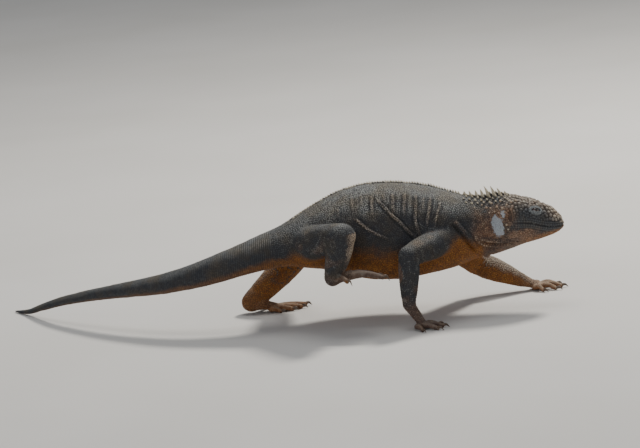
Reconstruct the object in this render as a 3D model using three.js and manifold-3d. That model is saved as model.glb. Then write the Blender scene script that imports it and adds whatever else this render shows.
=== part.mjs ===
// A life-size land iguana walking, head towards +X, its left side towards +Y, standing on z = 0.
// Millimetres. The trunk is one loft from tail tip to snout, parted by thin cuts, and each limb is a
// chain of rounded bars that starts inside the trunk and is cut back to meet it face to face.
import * as THREE from "three";
import { mergeVertices } from "three/addons/utils/BufferGeometryUtils.js";
import Module from "manifold-3d";

const wasm = await Module();
wasm.setup();

// Gap kept between pieces that touch.
const GAP = 0.3;
// Sides and rings of the trunk loft, and of the limb and toe bars.
const TRUNK_SIDES = 20;
const TRUNK_RINGS = 60;
const LIMB_SIDES = 11;
const TOE_SIDES = 6;
const CLAW_SIDES = 6;

// Trunk stations from tail tip to snout: distance ahead of the shoulders' midpoint, sideways place,
// heights of the back, of the belly and of the widest line, half width, and the squareness of the
// upper and lower halves of the section (2 is an ellipse).
const TRUNK = [
  { x: -484, y: 256, top: 3.4, belly: 0, level: 1.7, wide: 1.7, over: 2, under: 2 },
  { x: -472, y: 240, top: 6.4, belly: 0, level: 3.2, wide: 3.3, over: 2, under: 2 },
  { x: -458, y: 222, top: 11, belly: 2.2, level: 6.6, wide: 4.4, over: 2, under: 2 },
  { x: -436, y: 196, top: 23, belly: 11.5, level: 17.2, wide: 5.7, over: 2, under: 2 },
  { x: -397, y: 152, top: 41.5, belly: 26.5, level: 34, wide: 7.4, over: 2, under: 2 },
  { x: -343, y: 102, top: 59.5, belly: 40.5, level: 50, wide: 9.4, over: 2, under: 2 },
  { x: -291, y: 60, top: 74, belly: 50, level: 62, wide: 11.6, over: 2, under: 2 },
  { x: -241, y: 28, top: 87.5, belly: 57.5, level: 72, wide: 14.8, over: 2, under: 2.1 },
  { x: -191, y: 6, top: 104, belly: 67, level: 85, wide: 19, over: 2, under: 2.1 },
  { x: -141, y: -4, top: 122, belly: 77.5, level: 99, wide: 24, over: 2, under: 2.2 },
  { x: -92, y: -6, top: 139.5, belly: 88, level: 112, wide: 31, over: 2, under: 2.3 },
  { x: -58, y: -4, top: 151, belly: 91, level: 120, wide: 40, over: 2, under: 2.3 },
  { x: -25, y: 0, top: 168.5, belly: 86, level: 125, wide: 52, over: 1.9, under: 2.4 },
  { x: 9, y: 4, top: 185, belly: 79, level: 124, wide: 62, over: 1.8, under: 2.4 },
  { x: 41, y: 7, top: 196, belly: 67, level: 120, wide: 70, over: 1.8, under: 2.4 },
  { x: 74, y: 8, top: 201, belly: 60, level: 116, wide: 74, over: 1.8, under: 2.4 },
  { x: 106, y: 7, top: 200.5, belly: 58, level: 115, wide: 74, over: 1.8, under: 2.4 },
  { x: 137, y: 5, top: 197, belly: 60, level: 115, wide: 70, over: 1.8, under: 2.4 },
  { x: 169, y: 3, top: 189.5, belly: 64, level: 115, wide: 62, over: 1.8, under: 2.3 },
  { x: 200, y: 1, top: 178.5, belly: 70, level: 115, wide: 52, over: 1.8, under: 2.2 },
  { x: 224, y: 0, top: 171, belly: 77, level: 116, wide: 44, over: 1.8, under: 2.1 },
  { x: 246, y: -1, top: 168, belly: 80, level: 117, wide: 39, over: 1.8, under: 1.9 },
  { x: 266, y: -1, top: 169, belly: 85, level: 120, wide: 38, over: 1.9, under: 1.8 },
  { x: 284, y: -1, top: 168, belly: 90, level: 123, wide: 37, over: 2.2, under: 1.9 },
  { x: 299, y: -1, top: 163.5, belly: 94.5, level: 125, wide: 33.5, over: 2.5, under: 2.1 },
  { x: 314, y: -1, top: 157.5, belly: 97.5, level: 125, wide: 29.5, over: 2.7, under: 2.2 },
  { x: 329, y: -1, top: 151, belly: 101, level: 123, wide: 24.5, over: 2.5, under: 2.2 },
  { x: 342, y: -1, top: 144.5, belly: 104.5, level: 121, wide: 19, over: 2.3, under: 2.2 },
  { x: 351, y: -1, top: 135, belly: 108.5, level: 119, wide: 13.5, over: 2.2, under: 2.2 },
  { x: 356.2, y: -1, top: 127, belly: 112.5, level: 118.5, wide: 8, over: 2, under: 2 },
  { x: 358.4, y: -1, top: 121.5, belly: 115.5, level: 118.5, wide: 3, over: 2, under: 2 },
];
// Where thin cuts part the trunk and how far each leans back, and the names of the pieces, tail first.
const TRUNK_CUTS = [
  { x: -320, lean: 0 },
  { x: -185, lean: 0 },
  { x: -58, lean: 0 },
  { x: 212, lean: 0 },
  { x: 279.5, lean: 0.35 },
];
const TRUNK_NAMES = ["tail_tip", "tail_middle", "tail_base", "torso", "neck", "head"];

// Joints of each limb. The first is buried in the trunk.
const LIMBS = {
  right_fore: {
    joints: [[184, -34, 118], [124, -93, 108], [119, -94, 36]],
    radii: [23, 15.5, 9.5],
    names: ["right_upper_arm", "right_forearm"],
    ahead: [1, 0, 0.2],
    foot: "right_hand",
  },
  left_fore: {
    joints: [[192, 34, 103], [228, 86, 53], [296, 99, 17]],
    radii: [23, 18, 10.5],
    names: ["left_upper_arm", "left_forearm"],
    ahead: [1, 0, 0.8],
    foot: "left_hand",
  },
  right_hind: {
    joints: [[-22, -30, 124], [31, -106, 148], [12, -88, 84.5]],
    radii: [27, 19, 13],
    names: ["right_thigh", "right_shank"],
    ahead: [1, 0, 0.2],
    foot: "right_foot",
  },
  left_hind: {
    joints: [[-24, 32, 114], [-35, 116, 84], [-113, 101, 18]],
    radii: [27, 21, 15],
    names: ["left_thigh", "left_shank"],
    ahead: [1, 0, -0.6],
    foot: "left_foot",
  },
};

// Sizes of fingers and toes from the inner to the outer: length, thickness, turn from the foot's own
// heading, and how far back from the front of the palm the digit starts.
const FINGERS = [
  { length: 15, thick: 3.6, turn: 52, back: 9, side: 8.5 },
  { length: 22, thick: 3.9, turn: 24, back: 2, side: 6 },
  { length: 27, thick: 4.1, turn: 4, back: 0, side: 1 },
  { length: 26, thick: 4.0, turn: -18, back: 2, side: -5 },
  { length: 18, thick: 3.6, turn: -50, back: 9, side: -9 },
];
const TOES = [
  { length: 16, thick: 3.8, turn: 32, back: 12, side: 9 },
  { length: 25, thick: 4.2, turn: 14, back: 4, side: 6.5 },
  { length: 35, thick: 4.5, turn: 3, back: 0, side: 1.5 },
  { length: 44, thick: 4.6, turn: -8, back: 0, side: -4.5 },
  { length: 27, thick: 4.0, turn: -42, back: 26, side: -10 },
];
// How each digit narrows, how deep a standing one presses down and how far a lifted one droops.
const DIGIT = { taper: [1.15, 1, 0.85], pressed: 0.4, droop: 3.5 };
// A claw's length, the rise of its middle, its narrowing, and its tip's height or hook.
const CLAW = { length: 11, bow: 0.6, taper: [0.6, 0.42, 0.1], tip: 0.6, hook: 5.5 };
// How far down the shank or forearm it is thickest, and the upper limb's and the calf's fullness.
const CALF = { at: 0.38, start: 0.95, middle: 0.98, upper: 1.5 };

// Each foot's ankle and front of the palm, heading, outer side, palm's half sizes, whether it stands,
// how high its digits arch, and how long they are against the usual.
const FEET = {
  right_hand: {
    ankle: [119, -94, 36],
    front: [138, -98, 5.1],
    heading: -14,
    outer: -1,
    digits: FINGERS,
    palm: [10.5, 5.5],
    floor: true,
    arch: 5,
    reach: 1,
  },
  left_hand: {
    ankle: [296, 99, 17],
    front: [323, 101, 5.1],
    heading: 4,
    outer: 1,
    digits: FINGERS,
    palm: [10.5, 5.5],
    floor: true,
    arch: 9,
    reach: 1.2,
  },
  right_foot: {
    ankle: [12, -88, 84.5],
    front: [42, -93, 87],
    heading: -8,
    outer: -1,
    digits: TOES,
    palm: [12, 6],
    floor: false,
    arch: 7,
    reach: 1,
  },
  left_foot: {
    ankle: [-113, 101, 18],
    front: [-74, 106, 5.6],
    heading: 8,
    outer: 1,
    digits: TOES,
    palm: [12, 6],
    floor: true,
    arch: 3,
    reach: 1,
  },
};

// The eye's place on the head, the ball, how deep its middle lies, its lids and the slit between them
// as half sizes along the head, upwards and outwards.
const EYE = { x: 317, z: 146.5, radius: 6.6, depth: 3.9, lids: [10.6, 6.9, 3.2], slit: [6.4, 3.0, 9] };
// The line of the mouth on one side, from its corner to the snout, and the middle of its front.
const MOUTH = [[284, 131.5], [295, 131], [309, 128.3], [322, 123.8], [336, 119.8], [349, 117.8]];
const MOUTH_FRONT = [358.2, -1, 117.6];
const LIP = { away: 2.5, size: 1.7, groove: 0.8 };
const NOSTRIL = { x: 347, z: 129.5, rim: 2.7, pit: 1.3 };
// The eardrum's hollow behind the jaw.
const EARDRUM = { x: 278.5, z: 143, hollow: [3.3, 8.4, 2.4], rim: 0.9 };

// The crest along the back, and the taller spines of the nape, from the tail forwards.
const CREST = { from: -46, to: 210, step: 6.4, height: 3.6, long: 2.5, wide: 1.1, lean: 0.45 };
const NAPE = {
  from: 216,
  step: 8.6,
  heights: [6.5, 8.5, 10.5, 13, 17.5, 16.5, 11.5, 6.5],
  long: 2.8,
  wide: 1.7,
  lean: 0.32,
};
// Blunt cones over the top of the head, and along the side of the nape.
const CONES = { from: 268, to: 350, row: 8.8, gap: 8.8, size: 3.1, height: 2.3, clear: 14 };
const SIDE_CONES = [[246, 156], [253, 161], [260.5, 156], [267, 163], [268, 154], [275, 158]];

// Folds of loose skin on the right flank, each as places along the trunk and heights, and the fold
// that runs down in front of each shoulder and meets its fellow under the throat.
const FLANK_FOLDS = [
  [[48, 188], [46, 172]],
  [[79, 190], [78, 176], [77, 160]],
  [[86, 185], [104, 167], [122, 150], [137, 133]],
  [[111, 190], [111, 176], [109, 160]],
  [[129, 188], [128, 174], [126, 158]],
  [[145, 186], [144, 168], [143, 150], [146, 134]],
  [[166, 180], [164, 166], [160, 152]],
];
const FOLD = { size: 1.9, sunk: 0.7 };
const THROAT_FOLD = {
  side: [[197, 146], [212, 127], [224, 107], [234, 92]],
  under: [243, -1, 80],
  size: 2.6,
};

const v3 = (p) => new THREE.Vector3(...p);

// A closed loft through rings of points that all have the same count, with a fan over each end.
function skinOver(rings) {
  const sides = rings[0].length;
  const points = rings.flat();
  const faces = [];
  for (let i = 0; i + 1 < rings.length; i++)
    for (let j = 0; j < sides; j++) {
      const a = i * sides + j;
      const b = i * sides + ((j + 1) % sides);
      faces.push(a, b, b + sides, a, b + sides, a + sides);
    }
  const centre = (ring) => ring.reduce((s, p) => s.add(p), new THREE.Vector3()).divideScalar(sides);
  const first = points.push(centre(rings[0])) - 1;
  const last = points.push(centre(rings.at(-1))) - 1;
  const end = (rings.length - 1) * sides;
  for (let j = 0; j < sides; j++) {
    const next = (j + 1) % sides;
    faces.push(first, next, j, last, end + j, end + next);
  }
  const geometry = new THREE.BufferGeometry().setFromPoints(points);
  geometry.setIndex(faces);
  return geometry;
}

// One point of a squared ellipse at an angle.
function around(angle, square) {
  const c = Math.cos(angle);
  const s = Math.sin(angle);
  const round = (v) => Math.sign(v) * Math.abs(v) ** (2 / square);
  return [round(c), round(s)];
}

// The trunk's upright sections turn only with its heading, so heights stay true on the sloping tail.
function through(pick) {
  return new THREE.CatmullRomCurve3(TRUNK.map((s) => new THREE.Vector3(...pick(s))), false, "centripetal");
}
const spine = through((s) => [s.x, s.y, s.level]);
const heights = through((s) => [s.top, s.belly, s.wide]);
const squares = through((s) => [s.over, s.under, 0]);

function trunkFrame(t) {
  const place = spine.getPoint(t);
  const heading = spine.getTangent(t).setZ(0).normalize();
  const side = new THREE.Vector3(-heading.y, heading.x, 0);
  const [top, belly, wide] = heights.getPoint(t).toArray();
  const [over, under] = squares.getPoint(t).toArray();
  return { place, heading, side, top, belly, wide, over, under };
}

function trunkPoint(frame, angle, grow = 0) {
  const upper = Math.sin(angle) >= 0;
  const [across, high] = around(angle, upper ? frame.over : frame.under);
  const reach = upper ? frame.top - frame.place.z : frame.place.z - frame.belly;
  const point = frame.place.clone().addScaledVector(frame.side, across * (frame.wide + grow));
  point.z += high * (reach + grow);
  return point;
}

function trunkLoft(grow) {
  const rings = [];
  for (let i = 0; i <= TRUNK_RINGS; i++) {
    const frame = trunkFrame(i / TRUNK_RINGS);
    const turns = Array.from({ length: TRUNK_SIDES }, (_, j) => (j / TRUNK_SIDES) * 2 * Math.PI);
    rings.push(turns.map((turn) => trunkPoint(frame, turn, grow)));
  }
  return skinOver(rings);
}

// The curve's own parameter at a distance along X, which grows steadily from tail to snout.
function trunkAt(x) {
  let low = 0;
  let high = 1;
  while (high - low > 1e-6) {
    const middle = (low + high) / 2;
    if (spine.getPoint(middle).x < x) low = middle;
    else high = middle;
  }
  return low;
}

// The place and outward direction of the trunk's skin at a distance along it, on one side.
function skinAround(x, angle, side) {
  const at = (along, turn) => trunkPoint(trunkFrame(trunkAt(along)), side > 0 ? turn : Math.PI - turn);
  const point = at(x, angle);
  const slope = at(x + 1, angle).sub(at(x - 1, angle));
  const round = at(x, angle + 0.05).sub(at(x, angle - 0.05));
  const out = new THREE.Vector3().crossVectors(round, slope).multiplyScalar(side).normalize();
  const { heading } = trunkFrame(trunkAt(x));
  return { point, out, along: heading.projectOnPlane(out).normalize() };
}

// The same, at a height.
function skinAt(x, z, side) {
  const frame = trunkFrame(trunkAt(x));
  let low = -Math.PI / 2;
  let high = Math.PI / 2;
  while (high - low > 1e-5) {
    const middle = (low + high) / 2;
    if (trunkPoint(frame, middle).z < z) low = middle;
    else high = middle;
  }
  return skinAround(x, low, side);
}

function solid(geometry) {
  const bare = geometry.clone();
  bare.deleteAttribute("normal");
  bare.deleteAttribute("uv");
  const merged = mergeVertices(bare, 1e-4);
  return new wasm.Manifold(
    new wasm.Mesh({
      numProp: 3,
      vertProperties: new Float32Array(merged.attributes.position.array),
      triVerts: new Uint32Array(merged.index.array),
    }),
  );
}

function geometryOf(body) {
  const mesh = body.getMesh();
  const geometry = new THREE.BufferGeometry();
  geometry.setAttribute("position", new THREE.BufferAttribute(new Float32Array(mesh.vertProperties), 3));
  geometry.setIndex(new THREE.BufferAttribute(new Uint32Array(mesh.triVerts), 1));
  return geometry;
}

const largest = (body) => body.decompose().reduce((a, b) => (b.volume() > a.volume() ? b : a));
const join = (bodies) => bodies.reduce((a, b) => a.add(b));

// A bar along points with a half size across and one upwards at each, and domed ends unless blunt.
const DOME = [0.34, 0.7, 0.93];
function bar(points, sizes, { sides = LIMB_SIDES, rings = 6, ahead = [0, 0, 1], blunt = false } = {}) {
  const path = new THREE.CatmullRomCurve3(points, false, "centripetal");
  const halves = sizes.map(([across, up]) => new THREE.Vector3(across, up, 0));
  const spread = new THREE.CatmullRomCurve3(halves, false, "catmullrom");
  const ringAt = (t, out = 0) => {
    const tangent = path.getTangent(t);
    const size = spread.getPoint(t);
    const place = path.getPoint(t).addScaledVector(tangent, out * Math.min(size.x, size.y));
    const side = new THREE.Vector3().crossVectors(v3(ahead), tangent).normalize();
    const up = new THREE.Vector3().crossVectors(tangent, side);
    const shrink = Math.sqrt(1 - out * out);
    const ring = [];
    for (let j = 0; j < sides; j++) {
      const angle = (j / sides) * 2 * Math.PI;
      const point = place.clone().addScaledVector(side, Math.cos(angle) * size.x * shrink);
      ring.push(point.addScaledVector(up, Math.sin(angle) * size.y * shrink));
    }
    return ring;
  };
  const body = Array.from({ length: rings + 1 }, (_, i) => ringAt(i / rings));
  if (blunt) return skinOver(body);
  const before = DOME.toReversed().map((s) => ringAt(0, -s));
  const after = DOME.map((s) => ringAt(1, s));
  return skinOver([...before, ...body, ...after]);
}

// What lies ahead of a plane, or behind it, half a gap clear of the plane itself.
function aheadOf(body, at, way) {
  const n = way.clone().normalize();
  return body.trimByPlane(n.toArray(), n.dot(at) + GAP / 2);
}
const behind = (body, at, way) => aheadOf(body, at, way.clone().negate());

const nodes = new Map();

const trunk = solid(trunkLoft(0)).trimByPlane([0, 0, 1], 0);
const trunkGrown = solid(trunkLoft(GAP));

// An upright stand for small forms: x along the body, y out of the skin, z across.
function stand({ point, out, along }, depth = 0) {
  const across = new THREE.Vector3().crossVectors(along, out).normalize();
  const ahead = new THREE.Vector3().crossVectors(out, across);
  const foot = point.clone().addScaledVector(out, -depth);
  return new THREE.Matrix4().makeBasis(ahead, out, across).setPosition(foot);
}

// An egg-shaped solid with half sizes along the body, across the skin's own plane, and outwards.
function egg(place, [along, across, outwards], depth = 0, segments = [12, 8]) {
  const ball = new THREE.SphereGeometry(1, ...segments).scale(along, outwards, across);
  return solid(ball.applyMatrix4(stand(place, depth)));
}

// A cone of few sides with its root sunk in the skin and its tip leaning back.
const SUNK = 1.6;
function spike(place, height, long, wide, lean, sides = 4) {
  const cone = new THREE.ConeGeometry(1, 1, sides).translate(0, 0.5, 0);
  const tilt = new THREE.Matrix4().makeShear(0, 0, -lean, 0, 0, 0);
  cone.scale(long, height + SUNK, wide).applyMatrix4(tilt).translate(lean * SUNK, 0, 0);
  return solid(cone.applyMatrix4(stand(place, SUNK)));
}

// A small seeded draw between 0 and 1.
let seed = 20611;
function draw() {
  seed = (seed * 16807) % 2147483647;
  return seed / 2147483647;
}

function crestSpines() {
  const spines = [];
  for (let x = CREST.from; x < CREST.to; x += CREST.step) {
    const fade = Math.min(1, 0.45 + (x - CREST.from) / 110);
    const height = CREST.height * fade * (0.85 + 0.3 * draw());
    spines.push(spike(skinAround(x, Math.PI / 2, 1), height, CREST.long, CREST.wide, CREST.lean));
  }
  NAPE.heights.forEach((height, i) => {
    const place = skinAround(NAPE.from + i * NAPE.step, Math.PI / 2, 1);
    spines.push(spike(place, height, NAPE.long, NAPE.wide, NAPE.lean, 5));
  });
  return spines;
}

function headCones() {
  const cones = [];
  const eyes = [-1, 1].map((side) => skinAt(EYE.x, EYE.z, side).point);
  const add = (place, size) => {
    if (Math.min(...eyes.map((eye) => eye.distanceTo(place.point))) < CONES.clear) return;
    const height = CONES.height * (0.8 + 0.4 * draw());
    cones.push(spike(place, height, size, size, 0.6));
  };
  for (let x = CONES.from, row = 0; x < CONES.to; x += CONES.row, row++) {
    const { wide } = trunkFrame(trunkAt(x));
    const step = CONES.gap / wide;
    for (let turn = row % 2 ? step / 2 : step; turn < 1.05; turn += step)
      for (const side of [-1, 1]) {
        const place = skinAround(x, Math.PI / 2 - turn, side);
        add(place, CONES.size * (0.9 + 0.2 * draw()));
      }
  }
  for (const [x, z] of SIDE_CONES) for (const side of [-1, 1]) add(skinAt(x, z, side), CONES.size * 1.1);
  return cones;
}

// A ridge or groove that follows places on the skin, its middle pushed out by a distance.
function skinBar(places, size, out, rings, sides = 6) {
  const path = places.map((place) => place.point.clone().addScaledVector(place.out, out));
  const sizes = path.map((_, i) => {
    const half = i === 0 || i === path.length - 1 ? size * 0.45 : size;
    return [half, half];
  });
  return solid(bar(path, sizes, { sides, rings, ahead: [0.3, 0.2, 1] }));
}

function mouthPlaces(rise) {
  const side = (s) => MOUTH.map(([x, z]) => skinAt(x, z + rise, s));
  const middle = v3(MOUTH_FRONT).add(new THREE.Vector3(0, 0, rise));
  const front = { point: middle, out: new THREE.Vector3(1, 0, 0) };
  return [...side(-1), front, ...side(1).toReversed()];
}

function foldRidges() {
  const ridges = FLANK_FOLDS.map((fold) => {
    const places = fold.map(([x, z]) => skinAt(x, z, -1));
    return skinBar(places, FOLD.size, -FOLD.sunk, 4, 4);
  });
  const side = (s) => THROAT_FOLD.side.map(([x, z]) => skinAt(x, z, s));
  const under = { point: v3(THROAT_FOLD.under), out: new THREE.Vector3(0, 0, -1) };
  ridges.push(skinBar([...side(-1), under, ...side(1).toReversed()], THROAT_FOLD.size, -FOLD.sunk, 16, 5));
  return ridges;
}

function addForms(body) {
  const added = [...crestSpines(), ...headCones(), ...foldRidges()];
  const cuts = [];
  added.push(skinBar(mouthPlaces(LIP.away), LIP.size, -0.5, 20, 5));
  added.push(skinBar(mouthPlaces(-LIP.away), LIP.size, -0.5, 20, 5));
  cuts.push(skinBar(mouthPlaces(0), LIP.groove, 0.3, 20, 4));
  for (const side of [-1, 1]) {
    const eye = skinAt(EYE.x, EYE.z, side);
    added.push(egg(eye, EYE.lids));
    cuts.push(egg(eye, EYE.slit, 0, [10, 6]));
    const nostril = skinAt(NOSTRIL.x, NOSTRIL.z, side);
    added.push(egg(nostril, [NOSTRIL.rim, NOSTRIL.rim, 1.6], 0, [8, 6]));
    cuts.push(egg(nostril, [NOSTRIL.pit * 1.3, NOSTRIL.pit, 3.5], -0.6, [6, 5]));
    const eardrum = skinAt(EARDRUM.x, EARDRUM.z, side);
    const grown = EARDRUM.hollow.map((v, i) => (i < 2 ? v + EARDRUM.rim * 1.6 : 1.5));
    added.push(egg(eardrum, grown, 0.2, [12, 6]));
    cuts.push(egg(eardrum, EARDRUM.hollow, -0.4, [10, 6]));
  }
  return cuts.reduce((left, cut) => left.subtract(cut), body.add(join(added)));
}

function makeEyes() {
  [-1, 1].forEach((side) => {
    const { point, out } = skinAt(EYE.x, EYE.z, side);
    const middle = point.clone().addScaledVector(out, -EYE.depth);
    const ball = (radius) => {
      const sphere = new THREE.SphereGeometry(radius, 12, 8);
      return solid(sphere.translate(...middle.toArray()));
    };
    nodes.set(side < 0 ? "right_eye" : "left_eye", ball(EYE.radius));
    nodes.set("head", largest(nodes.get("head").subtract(ball(EYE.radius + GAP))));
  });
}

function partTrunk() {
  const planes = TRUNK_CUTS.map(({ x, lean }) => {
    const { place, heading } = trunkFrame(trunkAt(x));
    return { place, across: heading.setZ(lean) };
  });
  const whole = addForms(trunk);
  TRUNK_NAMES.forEach((name, i) => {
    let piece = whole;
    if (i > 0) piece = aheadOf(piece, planes[i - 1].place, planes[i - 1].across);
    if (i < planes.length) piece = behind(piece, planes[i].place, planes[i].across);
    nodes.set(name, largest(piece));
  });
}

const turned = (degrees) => {
  const angle = THREE.MathUtils.degToRad(degrees);
  return new THREE.Vector3(Math.cos(angle), Math.sin(angle), 0);
};

const even = (size) => [size, size];

function makeFoot(name, ankleSize, { ankle, front, heading, outer, digits, palm, floor, arch, reach }) {
  const base = v3(ankle);
  const tip = v3(front);
  const palmSizes = [even(ankleSize), [palm[0] * 0.92, palm[1] + 1.5], palm];
  const pieces = [solid(bar([base, base.clone().lerp(tip, 0.5), tip], palmSizes, { rings: 5 }))];
  const forward = turned(heading);
  const inward = new THREE.Vector3(-forward.y, forward.x, 0).multiplyScalar(-outer);
  digits.forEach(({ length, thick, turn, back, side }, i) => {
    const way = turned(heading - outer * turn);
    const start = tip.clone().addScaledVector(forward, -back).addScaledVector(inward, side);
    const low = floor ? thick * 0.8 - DIGIT.pressed : start.z - DIGIT.droop;
    const knuckle = start.clone().addScaledVector(way, length * reach * 0.5);
    knuckle.z = (start.z + low) / 2 + arch * 0.5;
    const far = start.clone().addScaledVector(way, length * reach);
    far.z = low;
    const toePath = [start, knuckle, far];
    const toeSizes = DIGIT.taper.map((share) => even(share * thick));
    pieces.push(solid(bar(toePath, toeSizes, { sides: TOE_SIDES, rings: 4, blunt: true })));
    const leaving = new THREE.CatmullRomCurve3(toePath, false, "centripetal").getTangent(1);
    const bow = far.clone().addScaledVector(way, CLAW.length * 0.5);
    bow.z += CLAW.bow;
    const point = far.clone().addScaledVector(way, CLAW.length * 0.95);
    point.z = floor ? CLAW.tip : far.z - CLAW.hook;
    const clawPath = [far.clone().addScaledVector(leaving, -1), bow, point];
    const clawSizes = CLAW.taper.map((share) => even(share * thick));
    const claw = solid(bar(clawPath, clawSizes, { sides: CLAW_SIDES, rings: 4, blunt: true }));
    const clear = far.clone().addScaledVector(leaving, GAP / 2);
    nodes.set(`${name}_claw_${i + 1}`, largest(aheadOf(claw, clear, leaving).trimByPlane([0, 0, 1], 0)));
  });
  return join(pieces);
}

function makeLimb({ joints, radii, names, ahead, foot }) {
  const [root, middle, end] = joints.map(v3);
  const upperPath = [root, root.clone().lerp(middle, 0.5), middle];
  const upperSizes = [radii[0], (radii[0] + radii[1]) / 2 + CALF.upper, radii[1]].map(even);
  const upper = solid(bar(upperPath, upperSizes, { ahead }));
  const lowerPath = [middle, middle.clone().lerp(end, CALF.at), end];
  const lowerSizes = [radii[1] * CALF.start, radii[1] * CALF.middle, radii[2]].map(even);
  const lower = solid(bar(lowerPath, lowerSizes, { ahead }));
  const down = end.clone().sub(middle).normalize();
  const bend = middle.clone().sub(root).normalize().add(down);
  const tread = v3(FEET[foot].front).sub(end).normalize().add(down);
  const leg = upper.add(lower).subtract(trunkGrown);
  const paw = makeFoot(foot, radii[2], FEET[foot]);
  nodes.set(names[0], largest(behind(leg, middle, bend)));
  nodes.set(names[1], largest(behind(aheadOf(leg, middle, bend), end, tread)));
  nodes.set(foot, largest(aheadOf(paw, end, tread).trimByPlane([0, 0, 1], 0)));
}

partTrunk();
makeEyes();
Object.values(LIMBS).forEach(makeLimb);

// The animal in a frame whose origin is the middle of its footprint.
const root = new THREE.Group();
const animal = new THREE.Group();
root.add(animal);
const colours = { flesh: 0x4a4d52, claw: 0x3a332c, eye: 0x2a1710 };
for (const [name, body] of nodes) {
  const kind = name.includes("claw") ? "claw" : name.includes("eye") ? "eye" : "flesh";
  const material = new THREE.MeshStandardMaterial({ color: colours[kind], roughness: 0.8 });
  const mesh = new THREE.Mesh(geometryOf(body), material);
  mesh.name = name;
  animal.add(mesh);
}
const extent = new THREE.Box3().setFromObject(animal);
const middle = extent.getCenter(new THREE.Vector3());
animal.position.set(-middle.x, -middle.y, -extent.min.z);
export default root;
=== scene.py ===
"""A life-size land iguana in mid stride: one skin with scales, crest, lids, eyes and claws."""
import math

import bpy
import numpy as np
from mathutils import Matrix, Vector, noise
from mathutils.bvhtree import BVHTree
from mathutils.kdtree import KDTree


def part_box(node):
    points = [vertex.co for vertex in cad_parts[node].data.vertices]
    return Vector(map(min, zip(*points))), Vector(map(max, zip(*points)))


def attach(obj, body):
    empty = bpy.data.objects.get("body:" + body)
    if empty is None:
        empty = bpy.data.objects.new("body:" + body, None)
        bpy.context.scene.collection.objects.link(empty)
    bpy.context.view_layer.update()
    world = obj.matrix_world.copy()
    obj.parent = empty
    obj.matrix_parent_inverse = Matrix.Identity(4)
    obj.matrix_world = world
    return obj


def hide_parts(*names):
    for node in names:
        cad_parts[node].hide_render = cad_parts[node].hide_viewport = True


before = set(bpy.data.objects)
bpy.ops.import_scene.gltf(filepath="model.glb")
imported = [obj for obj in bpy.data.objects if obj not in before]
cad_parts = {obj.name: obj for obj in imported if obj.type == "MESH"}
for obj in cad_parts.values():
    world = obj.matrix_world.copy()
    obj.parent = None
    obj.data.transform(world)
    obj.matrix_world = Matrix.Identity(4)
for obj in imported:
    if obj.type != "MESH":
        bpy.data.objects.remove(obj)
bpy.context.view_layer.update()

MM = 0.001
RANDOM = np.random.default_rng(20611)

# Trunk stations from tail tip to snout, in mm in the animal's own frame, as the solids have them:
# place along the body, sideways place, heights of back, belly and widest line, half width, and the
# squareness of the upper and lower halves of the section.
TRUNK = np.array([
    (-484, 256, 3.4, 0, 1.7, 1.7, 2, 2),
    (-472, 240, 6.4, 0, 3.2, 3.3, 2, 2),
    (-458, 222, 11, 2.2, 6.6, 4.4, 2, 2),
    (-436, 196, 23, 11.5, 17.2, 5.7, 2, 2),
    (-397, 152, 41.5, 26.5, 34, 7.4, 2, 2),
    (-343, 102, 59.5, 40.5, 50, 9.4, 2, 2),
    (-291, 60, 74, 50, 62, 11.6, 2, 2),
    (-241, 28, 87.5, 57.5, 72, 14.8, 2, 2.1),
    (-191, 6, 104, 67, 85, 19, 2, 2.1),
    (-141, -4, 122, 77.5, 99, 24, 2, 2.2),
    (-92, -6, 139.5, 88, 112, 31, 2, 2.3),
    (-58, -4, 151, 91, 120, 40, 2, 2.3),
    (-25, 0, 168.5, 86, 125, 52, 1.9, 2.4),
    (9, 4, 185, 79, 124, 62, 1.8, 2.4),
    (41, 7, 196, 67, 120, 70, 1.8, 2.4),
    (74, 8, 201, 60, 116, 74, 1.8, 2.4),
    (106, 7, 200.5, 58, 115, 74, 1.8, 2.4),
    (137, 5, 197, 60, 115, 70, 1.8, 2.4),
    (169, 3, 189.5, 64, 115, 62, 1.8, 2.3),
    (200, 1, 178.5, 70, 115, 52, 1.8, 2.2),
    (224, 0, 171, 77, 116, 44, 1.8, 2.1),
    (246, -1, 168, 80, 117, 39, 1.8, 1.9),
    (266, -1, 169, 85, 120, 38, 1.9, 1.8),
    (284, -1, 168, 90, 123, 37, 2.2, 1.9),
    (299, -1, 163.5, 94.5, 125, 33.5, 2.5, 2.1),
    (314, -1, 157.5, 97.5, 125, 29.5, 2.7, 2.2),
    (329, -1, 151, 101, 123, 24.5, 2.5, 2.2),
    (342, -1, 144.5, 104.5, 121, 19, 2.3, 2.2),
    (351, -1, 135, 108.5, 119, 13.5, 2.2, 2.2),
    (356.2, -1, 127, 112.5, 118.5, 8, 2, 2),
    (358.4, -1, 121.5, 115.5, 118.5, 3, 2, 2),
])
TAIL_END, HEAD_START = -484, 266

# Limb joints and the half thickness at each, and which way each limb's sections are turned.
LIMBS = {
    "right_fore": dict(joints=[(184, -34, 118), (124, -93, 108), (119, -94, 36)], radii=(23, 15.5, 9.5),
                       ahead=(1, 0, 0.2), foot="right_hand"),
    "left_fore": dict(joints=[(192, 34, 103), (228, 86, 53), (296, 99, 17)], radii=(23, 18, 10.5),
                      ahead=(1, 0, 0.8), foot="left_hand"),
    "right_hind": dict(joints=[(-22, -30, 124), (31, -106, 148), (12, -88, 84.5)], radii=(27, 19, 13),
                       ahead=(1, 0, 0.2), foot="right_foot"),
    "left_hind": dict(joints=[(-24, 32, 114), (-35, 116, 84), (-113, 101, 18)], radii=(27, 21, 15),
                      ahead=(1, 0, -0.6), foot="left_foot"),
}
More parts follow.
